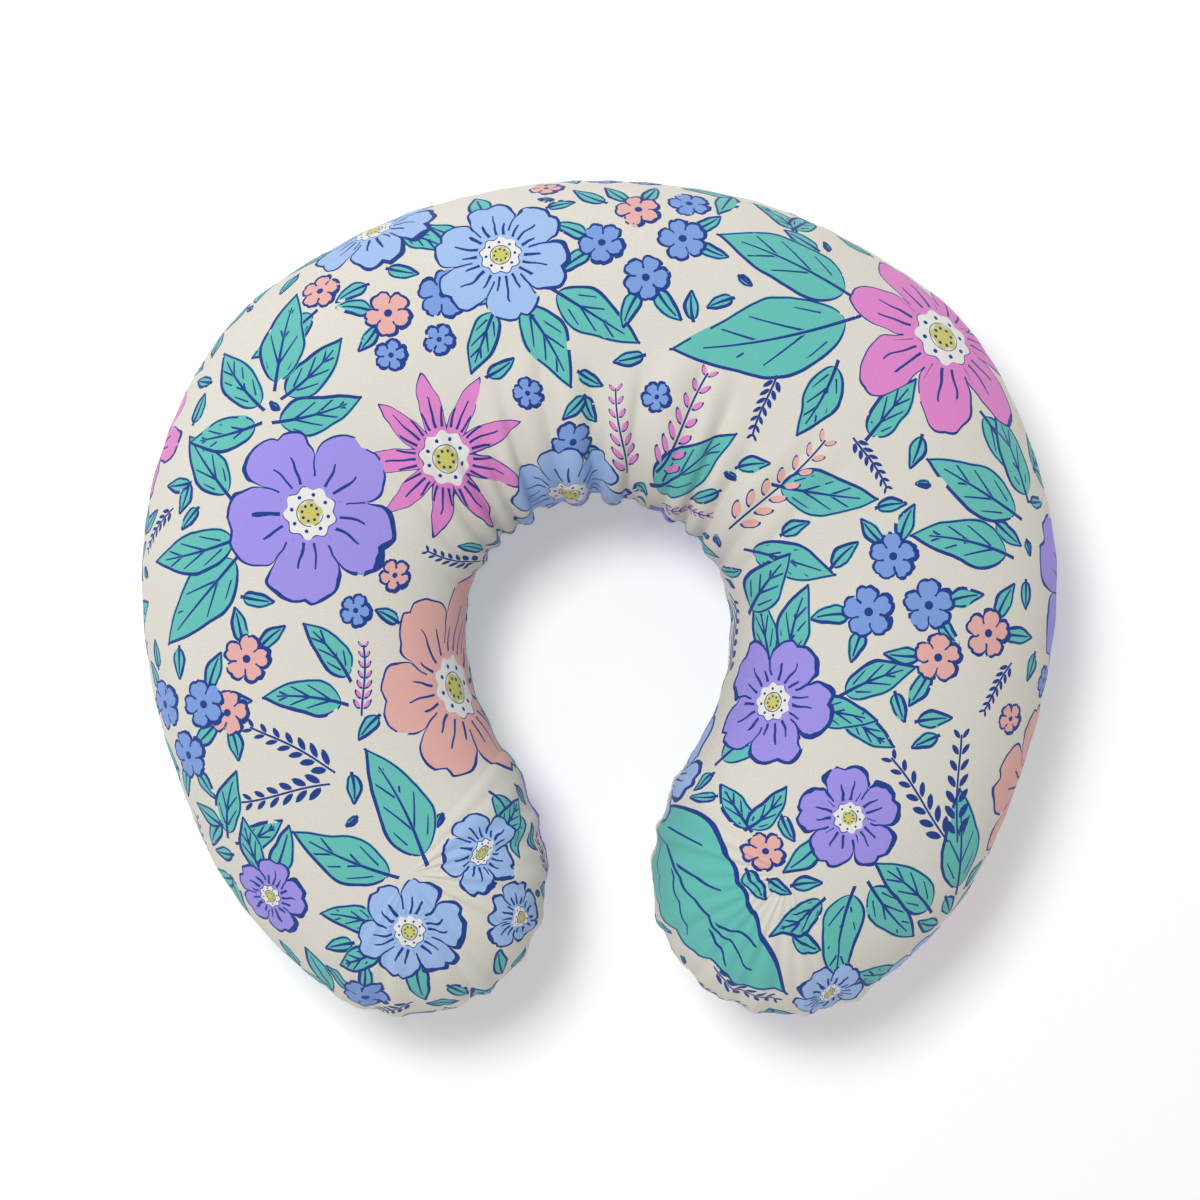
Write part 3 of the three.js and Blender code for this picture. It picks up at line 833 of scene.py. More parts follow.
def add_bump(tree, shader, height, strength, depth):
    """Small relief on a surface; depth in mm."""
    bump = tree.nodes.new("ShaderNodeBump")
    bump.inputs["Strength"].default_value = strength
    bump.inputs["Distance"].default_value = depth * MM
    put(tree, bump.inputs["Height"], height)
    tree.links.new(bump.outputs[0], shader.inputs["Normal"])


def over(tree, under, colour, cover, blend="MIX"):
    """Paints colour over the colour under it, where cover is 1."""
    node = tree.nodes.new("ShaderNodeMix")
    node.data_type = "RGBA"
    node.blend_type = blend
    put(tree, node.inputs[0], cover)
    for entry, value in ((node.inputs[6], under), (node.inputs[7], colour)):
        if isinstance(value, bpy.types.NodeSocket):
            tree.links.new(value, entry)
        else:
            entry.default_value = value
    return node.outputs[2]


# ----------------------------------------------------------------- the print


def bloom_layer(tree, under, level):
    """Flowers: filled petals, broken ink outlines, petal strokes and a stippled middle."""
    (x, y, seed), _ = read_attribute(tree, f"bloom_at_{level}")
    (petals, fullness, pen), _ = read_attribute(tree, f"bloom_shape_{level}")
    _, fill = read_attribute(tree, f"bloom_colour_{level}")
    wander, gate, drift = noise(tree, (x, y, seed), 1.6)
    radius = length_of(x, y)
    angle = y.make("ARCTAN2", x)
    turn = angle / (2 * math.pi) * petals + (drift - 0.5) * 0.5
    side = (turn.fract() - 0.5) * 2
    off = abs(side)
    power = fullness * 1.7 + 1.05
    round_off = 1.25 - fullness * 0.72
    cleft = fullness * 0.30 + 0.32
    notch = (1 - off * 4.5).most(0) * fullness * 0.07
    edge = cleft + (1 - cleft) * (1 - off**power) ** round_off - notch + (wander - 0.5) * 0.22
    shifted = length_of(x - pen * 0.6, y + pen * 0.5)
    heavy = ((x * 0.6 - y * 0.8) / radius.most(0.01)).most(0)
    line = pen * (0.95 + heavy * 0.7 + (gate - 0.5) * 1.4)
    steep = 1 + off**4 * 1.4
    outline = (abs(edge - radius) < line * steep) * (gate > 0.34)
    across = (1 - off) * radius * math.pi / petals
    between = (across < pen * 0.75) * (radius > 0.42) * (radius < edge)
    is_large = pen < 0.037
    stroke_turn = (side * 1.7 + seed).fract() - 0.5
    stroke = abs(stroke_turn) * radius * (math.pi / 1.7) / petals
    reach = 0.46 + (1 - off) * 0.30 * (drift + 0.4)
    stroke_width = pen * (1.15 - (radius - 0.34) * 1.5)
    strokes = (stroke < stroke_width) * (radius > 0.34) * (radius < reach) * is_large * (off < 0.78)
    curl = (drift - 0.52).most(0) * (heavy - 0.25).most(0) * 1.1
    curled = (radius > edge - curl) * (radius < edge) * is_large
    scallop = 0.285 + (angle * 9 + seed).cos() * 0.022
    middle = (radius < scallop) * is_large
    middle_line = (abs(radius - scallop) < pen * 0.4) * is_large * (wander > 0.49)
    core = radius < 0.135 + (angle * 5).cos() * 0.012
    core_line = abs(radius - 0.15) < pen * 0.35
    dot_turn = ((angle * (8 / (2 * math.pi))).fract() - 0.5) * (2 * math.pi * 0.21 / 8)
    dots = (length_of(dot_turn, radius - 0.21) < 0.022) * is_large
    specks = (length_of(dot_turn * 0.45, radius - 0.09) < 0.018) * is_large
    small_core = (radius < 0.17) * (1 - is_large)
    painted = over(tree, under, fill, shifted < edge)
    painted = over(tree, painted, NAVY, outline.most(between).most(strokes).most(curled))
    painted = over(tree, painted, WHITE, middle)
    painted = over(tree, painted, NAVY, middle_line.most(dots).most(small_core))
    painted = over(tree, painted, LEMON, core * is_large)
    return over(tree, painted, NAVY, (core_line * is_large * (gate > 0.42)).most(specks))


def leaf_layer(tree, under, level):
    """Leaves with a midrib and veins; and sprigs, stems with paired leaflets or buds."""
    (x, y, seed), _ = read_attribute(tree, f"leaf_at_{level}")
    (kind, _, pen), _ = read_attribute(tree, f"leaf_shape_{level}")
    _, fill = read_attribute(tree, f"leaf_colour_{level}")
    wander, gate, drift = noise(tree, (x, y, seed), 1.3)
    is_sprig = kind > 0.5

    bent = y - (1 - x * x) * (seed.sin() * LEAF_BEND)
    span = (1 - x).most(0) ** 1.05 * (1 + x).most(0) ** 0.62
    width = span * (0.41 + (x * 5 + seed).sin() * 0.03 + (wander - 0.5) * 0.14)
    off = abs(bent)
    lopsided = (bent > 0) * 0.5 + 0.80
    outline = (abs(off - width) < pen * lopsided) * (gate > 0.33) * (abs(x) < 1.04)
    rib = (off < pen * (0.85 - x * 0.45)) * (x > -1.2) * (x < 0.66)
    vein_place = ((x - off * 2.1) * 1.8 + seed).fract() - 0.5
    veins = (abs(vein_place) < pen * 3.4 * (1.1 - off * 1.6)) * (off < width * 0.74) * (off > 0.03)
    veins = veins * (x > -0.74) * (x < 0.60) * (drift > 0.40) * (pen < 0.05)
    filled = (abs(bent + pen * 1.3) < width) * (abs(x) < 1)
    leaf_ink = outline.most(rib).most(veins) * (1 - is_sprig)
    leaf_fill = filled * (1 - is_sprig)

    gap = 0.29
    cell = ((x + 1) / gap).fract() - 0.5
    taper = 1.05 - (x + 1) * 0.24
    sway = y - (x * 2.2 + seed).sin() * 0.05
    u = cell * gap
    v = abs(sway) - 0.15 * taper
    along = (u * 0.80 + v * 0.60) / (0.150 * taper)
    across = (v * 0.80 - u * 0.60) / (0.066 * taper)
    petal = length_of(along, across)
    inside_stem = abs(x) < 1
    leaflet = (petal < 1) * inside_stem
    rim = (abs(petal - 0.98) < pen * 7) * (across > -0.2) * inside_stem
    stem = (abs(sway) < pen * 0.8) * (x > -1.2) * (x < 0.86)
    sprig_ink = stem.most(rim) * is_sprig

    painted = over(tree, under, fill, leaf_fill.most(leaflet * is_sprig))
    return over(tree, painted, NAVY, leaf_ink.most(sprig_ink))


def twill(tree, shader, strength, pitch=1.45):
    """A fine diagonal weave in the cloth's own coordinates, with a little fuzz."""
    place = tree.nodes.new("ShaderNodeUVMap")
    place.uv_map = "Cloth"
    u, v = (number / MM for number in numbers_of(tree, place.outputs[0])[:2])
    rib = ((u + v * 0.75) * (2 * math.pi / pitch)).sin()
    warp = (v * (2 * math.pi / (pitch * 0.62))).sin()
    fuzz = noise(tree, place.outputs[0], 900, 3)[0]
    add_bump(tree, shader, rib * 0.6 + rib * warp * 0.3 + fuzz * 0.8, strength, 0.12)
    return rib, fuzz


def printed_material():
    """Cream twill with the print, slow and fine variation of its tone, and painted shade: its colour a little
    darker in the twill's grooves than on its ribs.
    """
    material, tree, shader = new_material("printed_cotton")
    rib, fuzz = twill(tree, shader, 0.8)
    painted = CREAM
    for layer in (leaf_layer, bloom_layer):
        for level in reversed(range(LEVELS)):
            painted = layer(tree, painted, level)
    slow = noise(tree, object_place(tree), 9, 4)[0]
    # rib * 0.022 is painted shade: the colour is lighter on the twill's raised ribs and darker in its
    # grooves, in step with the bump.
    shade = 0.935 + (slow - 0.5) * 0.05 + rib * 0.022 + (fuzz - 0.5) * 0.16
    grey = tree.nodes.new("ShaderNodeCombineColor")
    for entry in grey.inputs:
        put(tree, entry, shade)
    shaded = over(tree, painted, grey.outputs[0], 1, "MULTIPLY")
    tree.links.new(shaded, shader.inputs["Base Color"])
    put(tree, shader.inputs["Roughness"], 0.80 + fuzz * 0.12)
    shader.inputs["Sheen Weight"].default_value = 0.12
    shader.inputs["Sheen Roughness"].default_value = 0.5
    shader.inputs["Specular IOR Level"].default_value = 0.25
    return material


def cloth_material(name, colour, weave=0.5, pitch=1.1, roughness=0.85, sheen=0.1):
    """Plain woven cloth, with painted shade: its colour a little darker where the weave's bump dips between
    threads.
    """
    material, tree, shader = new_material(name)
    place = object_place(tree)
    x, y, z = (number / MM for number in numbers_of(tree, place))
    threads = ((x + z) * (2 * math.pi / pitch)).sin() * ((y - z) * (2 * math.pi / pitch)).sin()
    fuzz = noise(tree, place, 700, 3)[0]
    slow = noise(tree, place, 14, 3)[0]
    add_bump(tree, shader, threads * 0.6 + fuzz * 0.7, weave, 0.1)
    darker = tuple(c * 0.86 for c in colour[:3]) + (1.0,)
    # threads * 0.12 is painted shade: the colour moves towards darker where the weave's bump dips and lighter
    # where it is raised.
    shade = over(tree, darker, colour, 0.5 + threads * 0.12 + (slow - 0.5) * 0.7 + (fuzz - 0.5) * 0.5)
    tree.links.new(shade, shader.inputs["Base Color"])
    put(tree, shader.inputs["Roughness"], roughness - 0.05 + fuzz * 0.1)
    shader.inputs["Sheen Weight"].default_value = sheen
    shader.inputs["Sheen Roughness"].default_value = 0.5
    return material


def metal_material(name):
    """Satin nickel with fine scratches and dulled patches."""
    material, tree, shader = new_material(name)
    place = object_place(tree)
    slow = noise(tree, place, 180, 3)[0]
    fine = noise(tree, place, 1600, 3)[0]
    shade = over(tree, srgb(150, 151, 154), srgb(206, 207, 210), 0.3 + slow * 0.8)
    tree.links.new(shade, shader.inputs["Base Color"])
    put(tree, shader.inputs["Roughness"], 0.22 + slow * 0.16 + fine * 0.08)
    shader.inputs["Metallic"].default_value = 1
    add_bump(tree, shader, fine, 0.15, 0.03)
    return material


def nylon_material(name):
    """Slightly glossy cream nylon."""
    material, tree, shader = new_material(name)
    slow = noise(tree, object_place(tree), 260, 3)[0]
    shade = over(tree, srgb(222, 214, 196), srgb(240, 235, 222), slow)
    tree.links.new(shade, shader.inputs["Base Color"])
    put(tree, shader.inputs["Roughness"], 0.30 + slow * 0.2)
    shader.inputs["Subsurface Weight"].default_value = 0.1
    shader.inputs["Subsurface Radius"].default_value = (0.4 * MM, 0.35 * MM, 0.25 * MM)
    return material


def fill_material(name):
    """Crimped polyester fibre."""
    material, tree, shader = new_material(name)
    wave = tree.nodes.new("ShaderNodeTexWave")
    wave.inputs["Scale"].default_value = 55
    wave.inputs["Distortion"].default_value = 26
    wave.inputs["Detail"].default_value = 4
    tree.links.new(object_place(tree), wave.inputs["Vector"])
    strands = Term(tree, wave.outputs["Fac"])
    shade = over(tree, srgb(226, 227, 228), srgb(250, 250, 250), strands)
    tree.links.new(shade, shader.inputs["Base Color"])
    add_bump(tree, shader, strands, 0.8, 1.2)
    put(tree, shader.inputs["Roughness"], 0.9 + strands * 0.08)
    shader.inputs["Sheen Weight"].default_value = 0.3
    return material


# ------------------------------------------------------------- print layout

# Large flowers of the top panel, in mm in plan: place, radius, petals,
# fullness, colour, turn, and (direction, half-length) of small leaves behind.
TOP_BLOOMS = [
    (-136, 222, 41, 6, 0.95, SKY, 20, [(195, 20), (330, 18)]),
    (-58, 203, 41, 6, 0.95, SKY, 75, [(110, 16), (150, 14)]),
    (-170, 50, 52, 5, 0.92, LILAC, 12, []),
    (-90, 82, 58, 9, 0.08, PINK, 4, []),
    (-86, -54, 60, 6, 0.90, PEACH, 40, []),
    (-18, 62, 48, 6, 0.90, SKY, 10, []),
    (206, 156, 66, 7, 0.45, PINK, 33, []),
    (272, 4, 56, 5, 0.92, LILAC, 50, []),
    (104, -62, 38, 5, 0.95, LILAC, 28, [(72, 23), (102, 20), (350, 20)]),
    (148, -130, 31, 5, 0.95, LILAC, 60, [(220, 15)]),
    (258, -112, 48, 6, 0.90, PEACH, 15, []),
    (50, -113, 34, 6, 0.90, SKY, 0, []),
    (188, -218, 32, 6, 0.95, SKY, 70, [(160, 20)]),
    (139, -238, 24, 5, 0.90, SKY, 20, []),
    (-112, -198, 33, 6, 0.95, SKY, 45, [(172, 19), (210, 17), (280, 16)]),
    (-70, -152, 26, 5, 0.95, SKY, 10, [(50, 18)]),
    (-46, -192, 23, 5, 0.95, SKY, 50, []),
    (-196, -178, 25, 5, 0.95, LILAC, 35, [(105, 17), (70, 16)]),
    (-266, 92, 38, 6, 0.45, PINK, 10, []),
]

# Groups of small flowers: the middle of the group and its colours.
TOP_POSIES = [
    (-108, 174, [PEACH, AZURE]),
    (26, 212, [AZURE, PEACH, AZURE, AZURE]),
    (-15, 92, [AZURE]),
    (176, 4, [AZURE, AZURE, AZURE]),
    (216, -28, [PEACH, PEACH]),
    (-248, -74, [AZURE, AZURE, AZURE]),
    (-214, -52, [PEACH, PEACH]),
    (-140, -240, [AZURE]),
]

# Stems with leaflets or buds: foot, direction, length and leaflet colour.
TOP_SPRIGS = [
    (16, 76, 96, 66, PINK), (36, 80, 62, 70, PINK), (84, 44, 46, 84, PEACH), (103, 128, 250, 38, NAVY),
    (-160, -100, 152, 56, NAVY), (-164, -112, 190, 58, NAVY), (206, -140, 128, 62, NAVY),
    (214, -140, 92, 64, NAVY), (72, -224, 325, 46, NAVY),
]

# Leaves: foot, direction and length.
TOP_LEAVES = [
    (-203, 102, 188, 46), (-201, 114, 128, 50), (-191, 128, 84, 60), (-184, 120, 46, 46), (-188, 104, 16, 50),
    (-216, 34, 190, 58), (-215, 22, 226, 68), (-220, 62, 128, 48),
    (-24, 180, 328, 56), (-44, 172, 300, 54), (-62, 168, 250, 38),
    (146, 182, 155, 82), (146, 164, 190, 104), (140, 136, 240, 46),
    (248, 50, 152, 64), (242, 26, 170, 60), (256, 62, 112, 54), (230, 108, 300, 44),
    (34, 67, 36, 66), (44, 56, 346, 44), (92, 28, 346, 54), (108, 66, 352, 60), (160, 96, 50, 44),
    (78, -14, 78, 44), (92, -6, 50, 48), (146, -56, 20, 44), (146, -66, 322, 36),
    (40, -134, 312, 124), (74, -96, 28, 60), (132, -180, 210, 34), (150, -176, 262, 56), (162, -172, 312, 50),
    (216, -174, 98, 64), (226, -168, 62, 66), (198, -186, 140, 50),
    (-104, -152, 118, 72), (-124, -164, 156, 62), (-62, -118, 296, 44), (-222, -140, 74, 40),
    (-214, -146, 28, 34), (-170, 168, 214, 44), (-148, -46, 130, 40), (-152, -62, 176, 46),
]

LEAVES_PER_RANDOM_BLOOM = 3


class PanelMap:
    """Where a panel's points lie in plan and on the flat cloth, and how much that map stretches."""

    def __init__(self, vertices, chart, stretch):
        self.plan = vertices[:, :2]
        self.chart = chart
        self.stretch = stretch

    def from_plan(self, x, y):
        """The nearest spot of the cloth to a plan point, in cloth coordinates."""
        nearest = np.argmin(np.hypot(self.plan[:, 0] - x, self.plan[:, 1] - y))
        return self.chart[nearest] + (np.array([x, y]) - self.plan[nearest])

    def stretch_at(self, x, y):
        return self.stretch[np.argmin(np.hypot(self.chart[:, 0] - x, self.chart[:, 1] - y))]


class Layout:
    """The motifs of one panel, in cloth coordinates, and the ground they cover."""

    def __init__(self, panel_map, seed):
        self.map = panel_map
        self.dice = np.random.default_rng(seed)
        self.motifs = []
        self.taken = np.zeros((0, 3))

    def bloom(self, x, y, radius, petals, fullness, colour, turn):
        return {
            "kind": "bloom", "x": x, "y": y, "size": radius * self.map.stretch_at(x, y), "real": radius,
            "turn": turn, "colour": colour, "petals": petals, "fullness": fullness,
            "seed": 40 * self.dice.random(),
        }

    def frond(self, kind, x, y, half, turn, colour):
        """A leaf or sprig whose foot is at (x, y)."""
        size = half * self.map.stretch_at(x, y)
        away = math.radians(turn)
        return {
            "kind": kind, "x": x + size * math.cos(away), "y": y + size * math.sin(away), "size": size,
            "real": half, "turn": turn, "colour": colour, "petals": 5, "fullness": 1,
            "seed": 40 * self.dice.random(),
        }

    def bloom_with_leaves(self, x, y, radius, petals, fullness, colour, turn, leaves):
        motifs = [self.bloom(x, y, radius, petals, fullness, colour, turn)]
        foot = 0.66 * motifs[0]["size"]
        for direction, half in leaves:
            away = math.radians(direction)
            foot_x, foot_y = x + foot * math.cos(away), y + foot * math.sin(away)
            motifs.append(self.frond("leaf", foot_x, foot_y, half, direction, TEAL))
        return motifs

    def posy(self, x, y, colours):
        """Small flowers round a point, with small leaves beside them."""
        motifs = []
        start = 2 * math.pi * self.dice.random()
        spread = 0 if len(colours) == 1 else 10.5 + 3.4 * len(colours)
        spread *= self.map.stretch_at(x, y)
        for k, colour in enumerate(colours):
            away = start + 2 * math.pi * k / len(colours)
            spot_x, spot_y = x + spread * math.cos(away), y + spread * math.sin(away)
            radius = 13.5 + 2 * self.dice.random()
            motifs.append(self.bloom(spot_x, spot_y, radius, 5, 0.9, colour, 72 * self.dice.random()))
            foot = 0.75 * motifs[-1]["size"]
            for side in (-0.5, 0.6):
                foot_x = spot_x + foot * math.cos(away + side)
                foot_y = spot_y + foot * math.sin(away + side)
                half = 9 + 3 * self.dice.random()
                motifs.append(self.frond("leaf", foot_x, foot_y, half, math.degrees(away + side), TEAL))
        return motifs

    def random_bloom(self, low, high):
        def make(x, y):
            radius = low + (high - low) * self.dice.random()
            colour = (SKY, LILAC, PEACH, PINK, SKY, LILAC)[self.dice.integers(6)]
            is_star = colour == PINK
            petals = 7 if is_star else int(self.dice.integers(5, 7))
            start = 360 * self.dice.random()
            leaves = [
                (start + 90 * k + 40 * self.dice.random(), radius * (0.5 + 0.25 * self.dice.random()))
                for k in range(LEAVES_PER_RANDOM_BLOOM)
            ]
            fullness = 0.4 if is_star else 0.93
            return self.bloom_with_leaves(x, y, radius, petals, fullness, colour, start, leaves)
        return make

    def random_posy(self, x, y):
        count = int(self.dice.integers(1, 4))
        return self.posy(x, y, [(AZURE, PEACH, AZURE)[self.dice.integers(3)] for _ in range(count)])

    def random_sprig(self, x, y):
        colour = (NAVY, NAVY, TEAL, PINK)[self.dice.integers(4)]
        return [self.frond("sprig", x, y, 16 + 9 * self.dice.random(), 360 * self.dice.random(), colour)]

    def random_leaves(self, low, high, spreads=(0,)):
        def make(x, y):
            turn = 360 * self.dice.random()
            half = low + (high - low) * self.dice.random()
            return [self.frond("leaf", x, y, half, turn + spread, TEAL) for spread in spreads]
        return make

    def random_small_bloom(self, x, y):
        colour = (AZURE, PEACH)[self.dice.integers(2)]
        return [self.bloom(x, y, 9 + 4 * self.dice.random(), 5, 0.9, colour, 72 * self.dice.random())]

    def add(self, motifs):
        for motif in motifs:
            self.motifs.append(motif)
            self.taken = np.concatenate([self.taken, np.array(ground_of(motif))])

    def is_free(self, motif, gap):
        for x, y, radius in ground_of(motif):
            clear = np.hypot(self.taken[:, 0] - x, self.taken[:, 1] - y) - self.taken[:, 2] - radius
            if clear.min(initial=np.inf) < gap:
                return False
        return True

    def scatter(self, tries, make, gap):
        """Adds what make(x, y) gives at random spots of the cloth, where there is room."""
        for _ in range(tries):
            x, y = self.map.chart[self.dice.integers(len(self.map.chart))]
            motifs = make(x, y)
            if all(self.is_free(motif, gap) for motif in motifs):
                self.add(motifs)

    def fill_gaps(self):
        """Everything that goes between the flowers, from large to small."""
        self.scatter(500, self.random_leaves(15, 19, (0, 74)), 1.5)
        self.scatter(500, self.random_sprig, 0.8)
        self.scatter(800, self.random_small_bloom, 1.2)
        self.scatter(900, self.random_leaves(9, 13, (0, 74)), 1.2)
        self.scatter(1400, self.random_leaves(8, 12), 1.2)
        self.scatter(260, self.random_leaves(3.6, 5), 2.5)


# Discs along a leaf and a sprig, as (place along it, radius), in half-lengths.
LEAF_DISCS = ((-0.8, 0.2), (-0.45, 0.38), (-0.1, 0.42), (0.25, 0.34), (0.6, 0.22), (0.9, 0.1))
SPRIG_DISCS = tuple((place, 0.27) for place in (-0.9, -0.55, -0.2, 0.15, 0.5, 0.85))


def ground_of(motif):
    """Discs (x, y, radius) that a motif covers."""
    if motif["kind"] == "bloom":
        return [(motif["x"], motif["y"], motif["size"])]
    away = math.radians(motif["turn"])
    size = motif["size"]
    discs = LEAF_DISCS if motif["kind"] == "leaf" else SPRIG_DISCS
    return [
        (motif["x"] + size * t * math.cos(away), motif["y"] + size * t * math.sin(away), size * radius)
        for t, radius in discs
    ]


def top_layout(panel_map):
    layout = Layout(panel_map, 21)
    for x, y, radius, petals, fullness, colour, turn, leaves in TOP_BLOOMS:
        spot = panel_map.from_plan(x, y)
        layout.add(layout.bloom_with_leaves(*spot, radius, petals, fullness, colour, turn, leaves))
    for x, y, colours in TOP_POSIES:
        layout.add(layout.posy(*panel_map.from_plan(x, y), colours))
    for x, y, turn, length, colour in TOP_SPRIGS:
        layout.add([layout.frond("sprig", *panel_map.from_plan(x, y), length / 2, turn, colour)])
    for x, y, turn, length in TOP_LEAVES:
        layout.add([layout.frond("leaf", *panel_map.from_plan(x, y), length / 2, turn, TEAL)])
    layout.fill_gaps()
    return layout.motifs


def bottom_layout(panel_map):
    layout = Layout(panel_map, 33)
    layout.scatter(900, layout.random_bloom(40, 54), 1)
    layout.scatter(900, layout.random_bloom(24, 36), 1)
    layout.scatter(400, layout.random_posy, 1)
    layout.fill_gaps()
    return layout.motifs


# The print's levels and, in mm, the half-width of its ink lines, how far outside a motif its
# faces may reach, and how far apart the motifs of one level are.
LEVELS = 3
PEN_WIDTH = 0.82
MARGIN = 3.0
CLEARANCE = 5.5
LEAF_BEND = 0.10
FAR_AWAY = 9.0


def distance_to(motif, local):
    """About how far places in a motif's own axes are from its drawn shape, in mm; negative inside."""
    x, y = local.T
    if motif["kind"] == "bloom":
        return (np.hypot(x, y) - 1.04) * motif["real"]
    past_ends = np.maximum(x - 1, -1.22 - x)
    if motif["kind"] == "sprig":
        return np.maximum(np.abs(y) - 0.27, past_ends) * motif["real"]
    inside = np.clip(x, -0.999, 0.999)
    bend = LEAF_BEND * math.sin(motif["seed"]) * (1 - inside**2)
    half = 0.48 * (1 - inside) ** 1.05 * (1 + inside) ** 0.62
    return np.maximum(np.abs(y - bend) - half, past_ends) * motif["real"]


def chosen_motifs(motifs, centre, sides):
    """The number of the motif that each face shows, or -1."""
    nearest = np.full(len(centre), MARGIN)
    chosen = np.full(len(centre), -1)
    for number, motif in enumerate(motifs):
        distance = distance_to(motif, to_local(centre, motif))
        better = (distance < nearest) & (sides * motif["x"] >= 0)
        nearest[better] = distance[better]
        chosen[better] = number
    return chosen


def is_clear(ground, taken):
    """Whether some discs keep clear of all the discs that are taken."""
    apart = np.hypot(*(ground[:, None, :2] - taken[None, :, :2]).transpose(2, 0, 1))
    return (apart - ground[:, None, 2] - taken[None, :, 2]).min(initial=FAR_AWAY) > CLEARANCE


def sorted_motifs(motifs):
    """Leaves and flowers on levels: a motif lies on the first level where it is clear of the others."""
    result = []
    for layer, kinds in (("leaf", ("leaf", "sprig")), ("bloom", ("bloom",))):
        levels = [[] for _ in range(LEVELS)]
        taken = [np.zeros((0, 3))] * LEVELS
        for motif in motifs:
            if motif["kind"] not in kinds:
                continue
            ground = np.array(ground_of(motif))
            clear = [level for level in range(LEVELS) if is_clear(ground, taken[level])]
            level = clear[0] if clear else LEVELS - 1
            levels[level].append(motif)
            taken[level] = np.concatenate([taken[level], ground])
        result += [(layer, level, levels[level]) for level in range(LEVELS)]
    return result


def to_local(places, motif):
    """Places in a motif's own axes and size."""
    turn = math.radians(motif["turn"])
    spin = np.array([[math.cos(turn), -math.sin(turn)], [math.sin(turn), math.cos(turn)]])
    return (places - np.array([motif["x"], motif["y"]])) @ spin / motif["size"]


def draw_print(mesh, chart, faces, motifs, sides):
    """Writes on each face which flower and which leaf it shows, and where on that motif it lies."""
    corners = np.concatenate([np.array(face, int) for face in faces])
    sizes = np.array([len(face) for face in faces])
    face_of = np.repeat(np.arange(len(faces)), sizes)
    place = chart[corners]
    centre = np.stack([np.bincount(face_of, place[:, k]) / sizes for k in (0, 1)], -1)
    face_side = sides[np.array([face[0] for face in faces])]
    for layer, level, mine in sorted_motifs(motifs):
        chosen = chosen_motifs(mine, centre, face_side)
        at = np.full((len(corners), 3), FAR_AWAY)
        shape = np.tile([0.0, 0.5, 0.03], (len(faces), 1))
        colour = np.ones((len(faces), 4))
        for number, motif in enumerate(mine):
            its_faces = chosen == number
            its_corners = its_faces[face_of]
            at[its_corners, :2] = to_local(place[its_corners], motif)
            at[its_corners, 2] = motif["seed"]
            first = motif["petals"] if motif["kind"] == "bloom" else float(motif["kind"] == "sprig")
            shape[its_faces] = (first, motif["fullness"], PEN_WIDTH / motif["real"])
            colour[its_faces] = motif["colour"]
        write_attribute(mesh, f"{layer}_at_{level}", "FLOAT_VECTOR", "CORNER", "vector", at)
        write_attribute(mesh, f"{layer}_shape_{level}", "FLOAT_VECTOR", "FACE", "vector", shape)
        write_attribute(mesh, f"{layer}_colour_{level}", "FLOAT_COLOR", "FACE", "color", colour)


def write_attribute(mesh, name, kind, domain, field, values):
    attribute = mesh.attributes.new(name, kind, domain)
    attribute.data.foreach_set(field, np.ascontiguousarray(values, np.float32).reshape(-1))


# --------------------------------------------------------------- cover panels


def cloth_chart(points):
    """Where each point of a panel lies on the flat cloth, in mm, and the local stretch.

    Rays are laid out flat from the spine, and stretched so that a motif keeps
    its shape: as much outwards as the cloth spreads sideways there.
    """
    step = np.linalg.norm(np.diff(points, axis=1), axis=2)
    real = np.linalg.norm(np.roll(points, -1, 0) - np.roll(points, 1, 0), axis=2)
    out_change = np.roll(OUT, -1, 0) - np.roll(OUT, 1, 0)
    spine_change = np.roll(SPINE, -1, 0) - np.roll(SPINE, 1, 0)
    reach = np.zeros(points.shape[:2])
    stretch = np.ones(points.shape[:2])
    for row in range(1, points.shape[1]):
        laid = np.linalg.norm(spine_change + out_change * reach[:, row - 1 : row], axis=1)
        spread = np.where(real[:, row - 1] > 0.5, laid / np.maximum(real[:, row - 1], 0.5), 1)
        stretch[:, row] = np.clip(spread, 0.6, 1.35)
        reach[:, row] = reach[:, row - 1] + step[:, row - 1] * stretch[:, row]
    reach, stretch = evened_rays(reach), evened_rays(stretch)
    return SPINE[:, None] + OUT[:, None] * reach[..., None], stretch[..., None]


def evened_rays(values):
    """Smooths a quantity from ray to ray."""
    for _ in range(12):
        values = values + 0.25 * (np.roll(values, 1, 0) - 2 * values + np.roll(values, -1, 0))
    return values


def bake_map(chart, corners, is_back):
    """UVs for the bake: the outside fills the square, and the back is small, in the waist's gap."""
    low, high = chart.min(0), chart.max(0)
    size = (high - low).max() * 1.01
    uv = ((chart - (low + high) / 2) / size + 0.5)[corners]
    uv[is_back] = uv[is_back] * 0.08 + np.array([0.46, 0.02])
    return uv


# Beyond this angle from the crown, a motif of one arm isn't drawn on the other.
ARM_START = 60


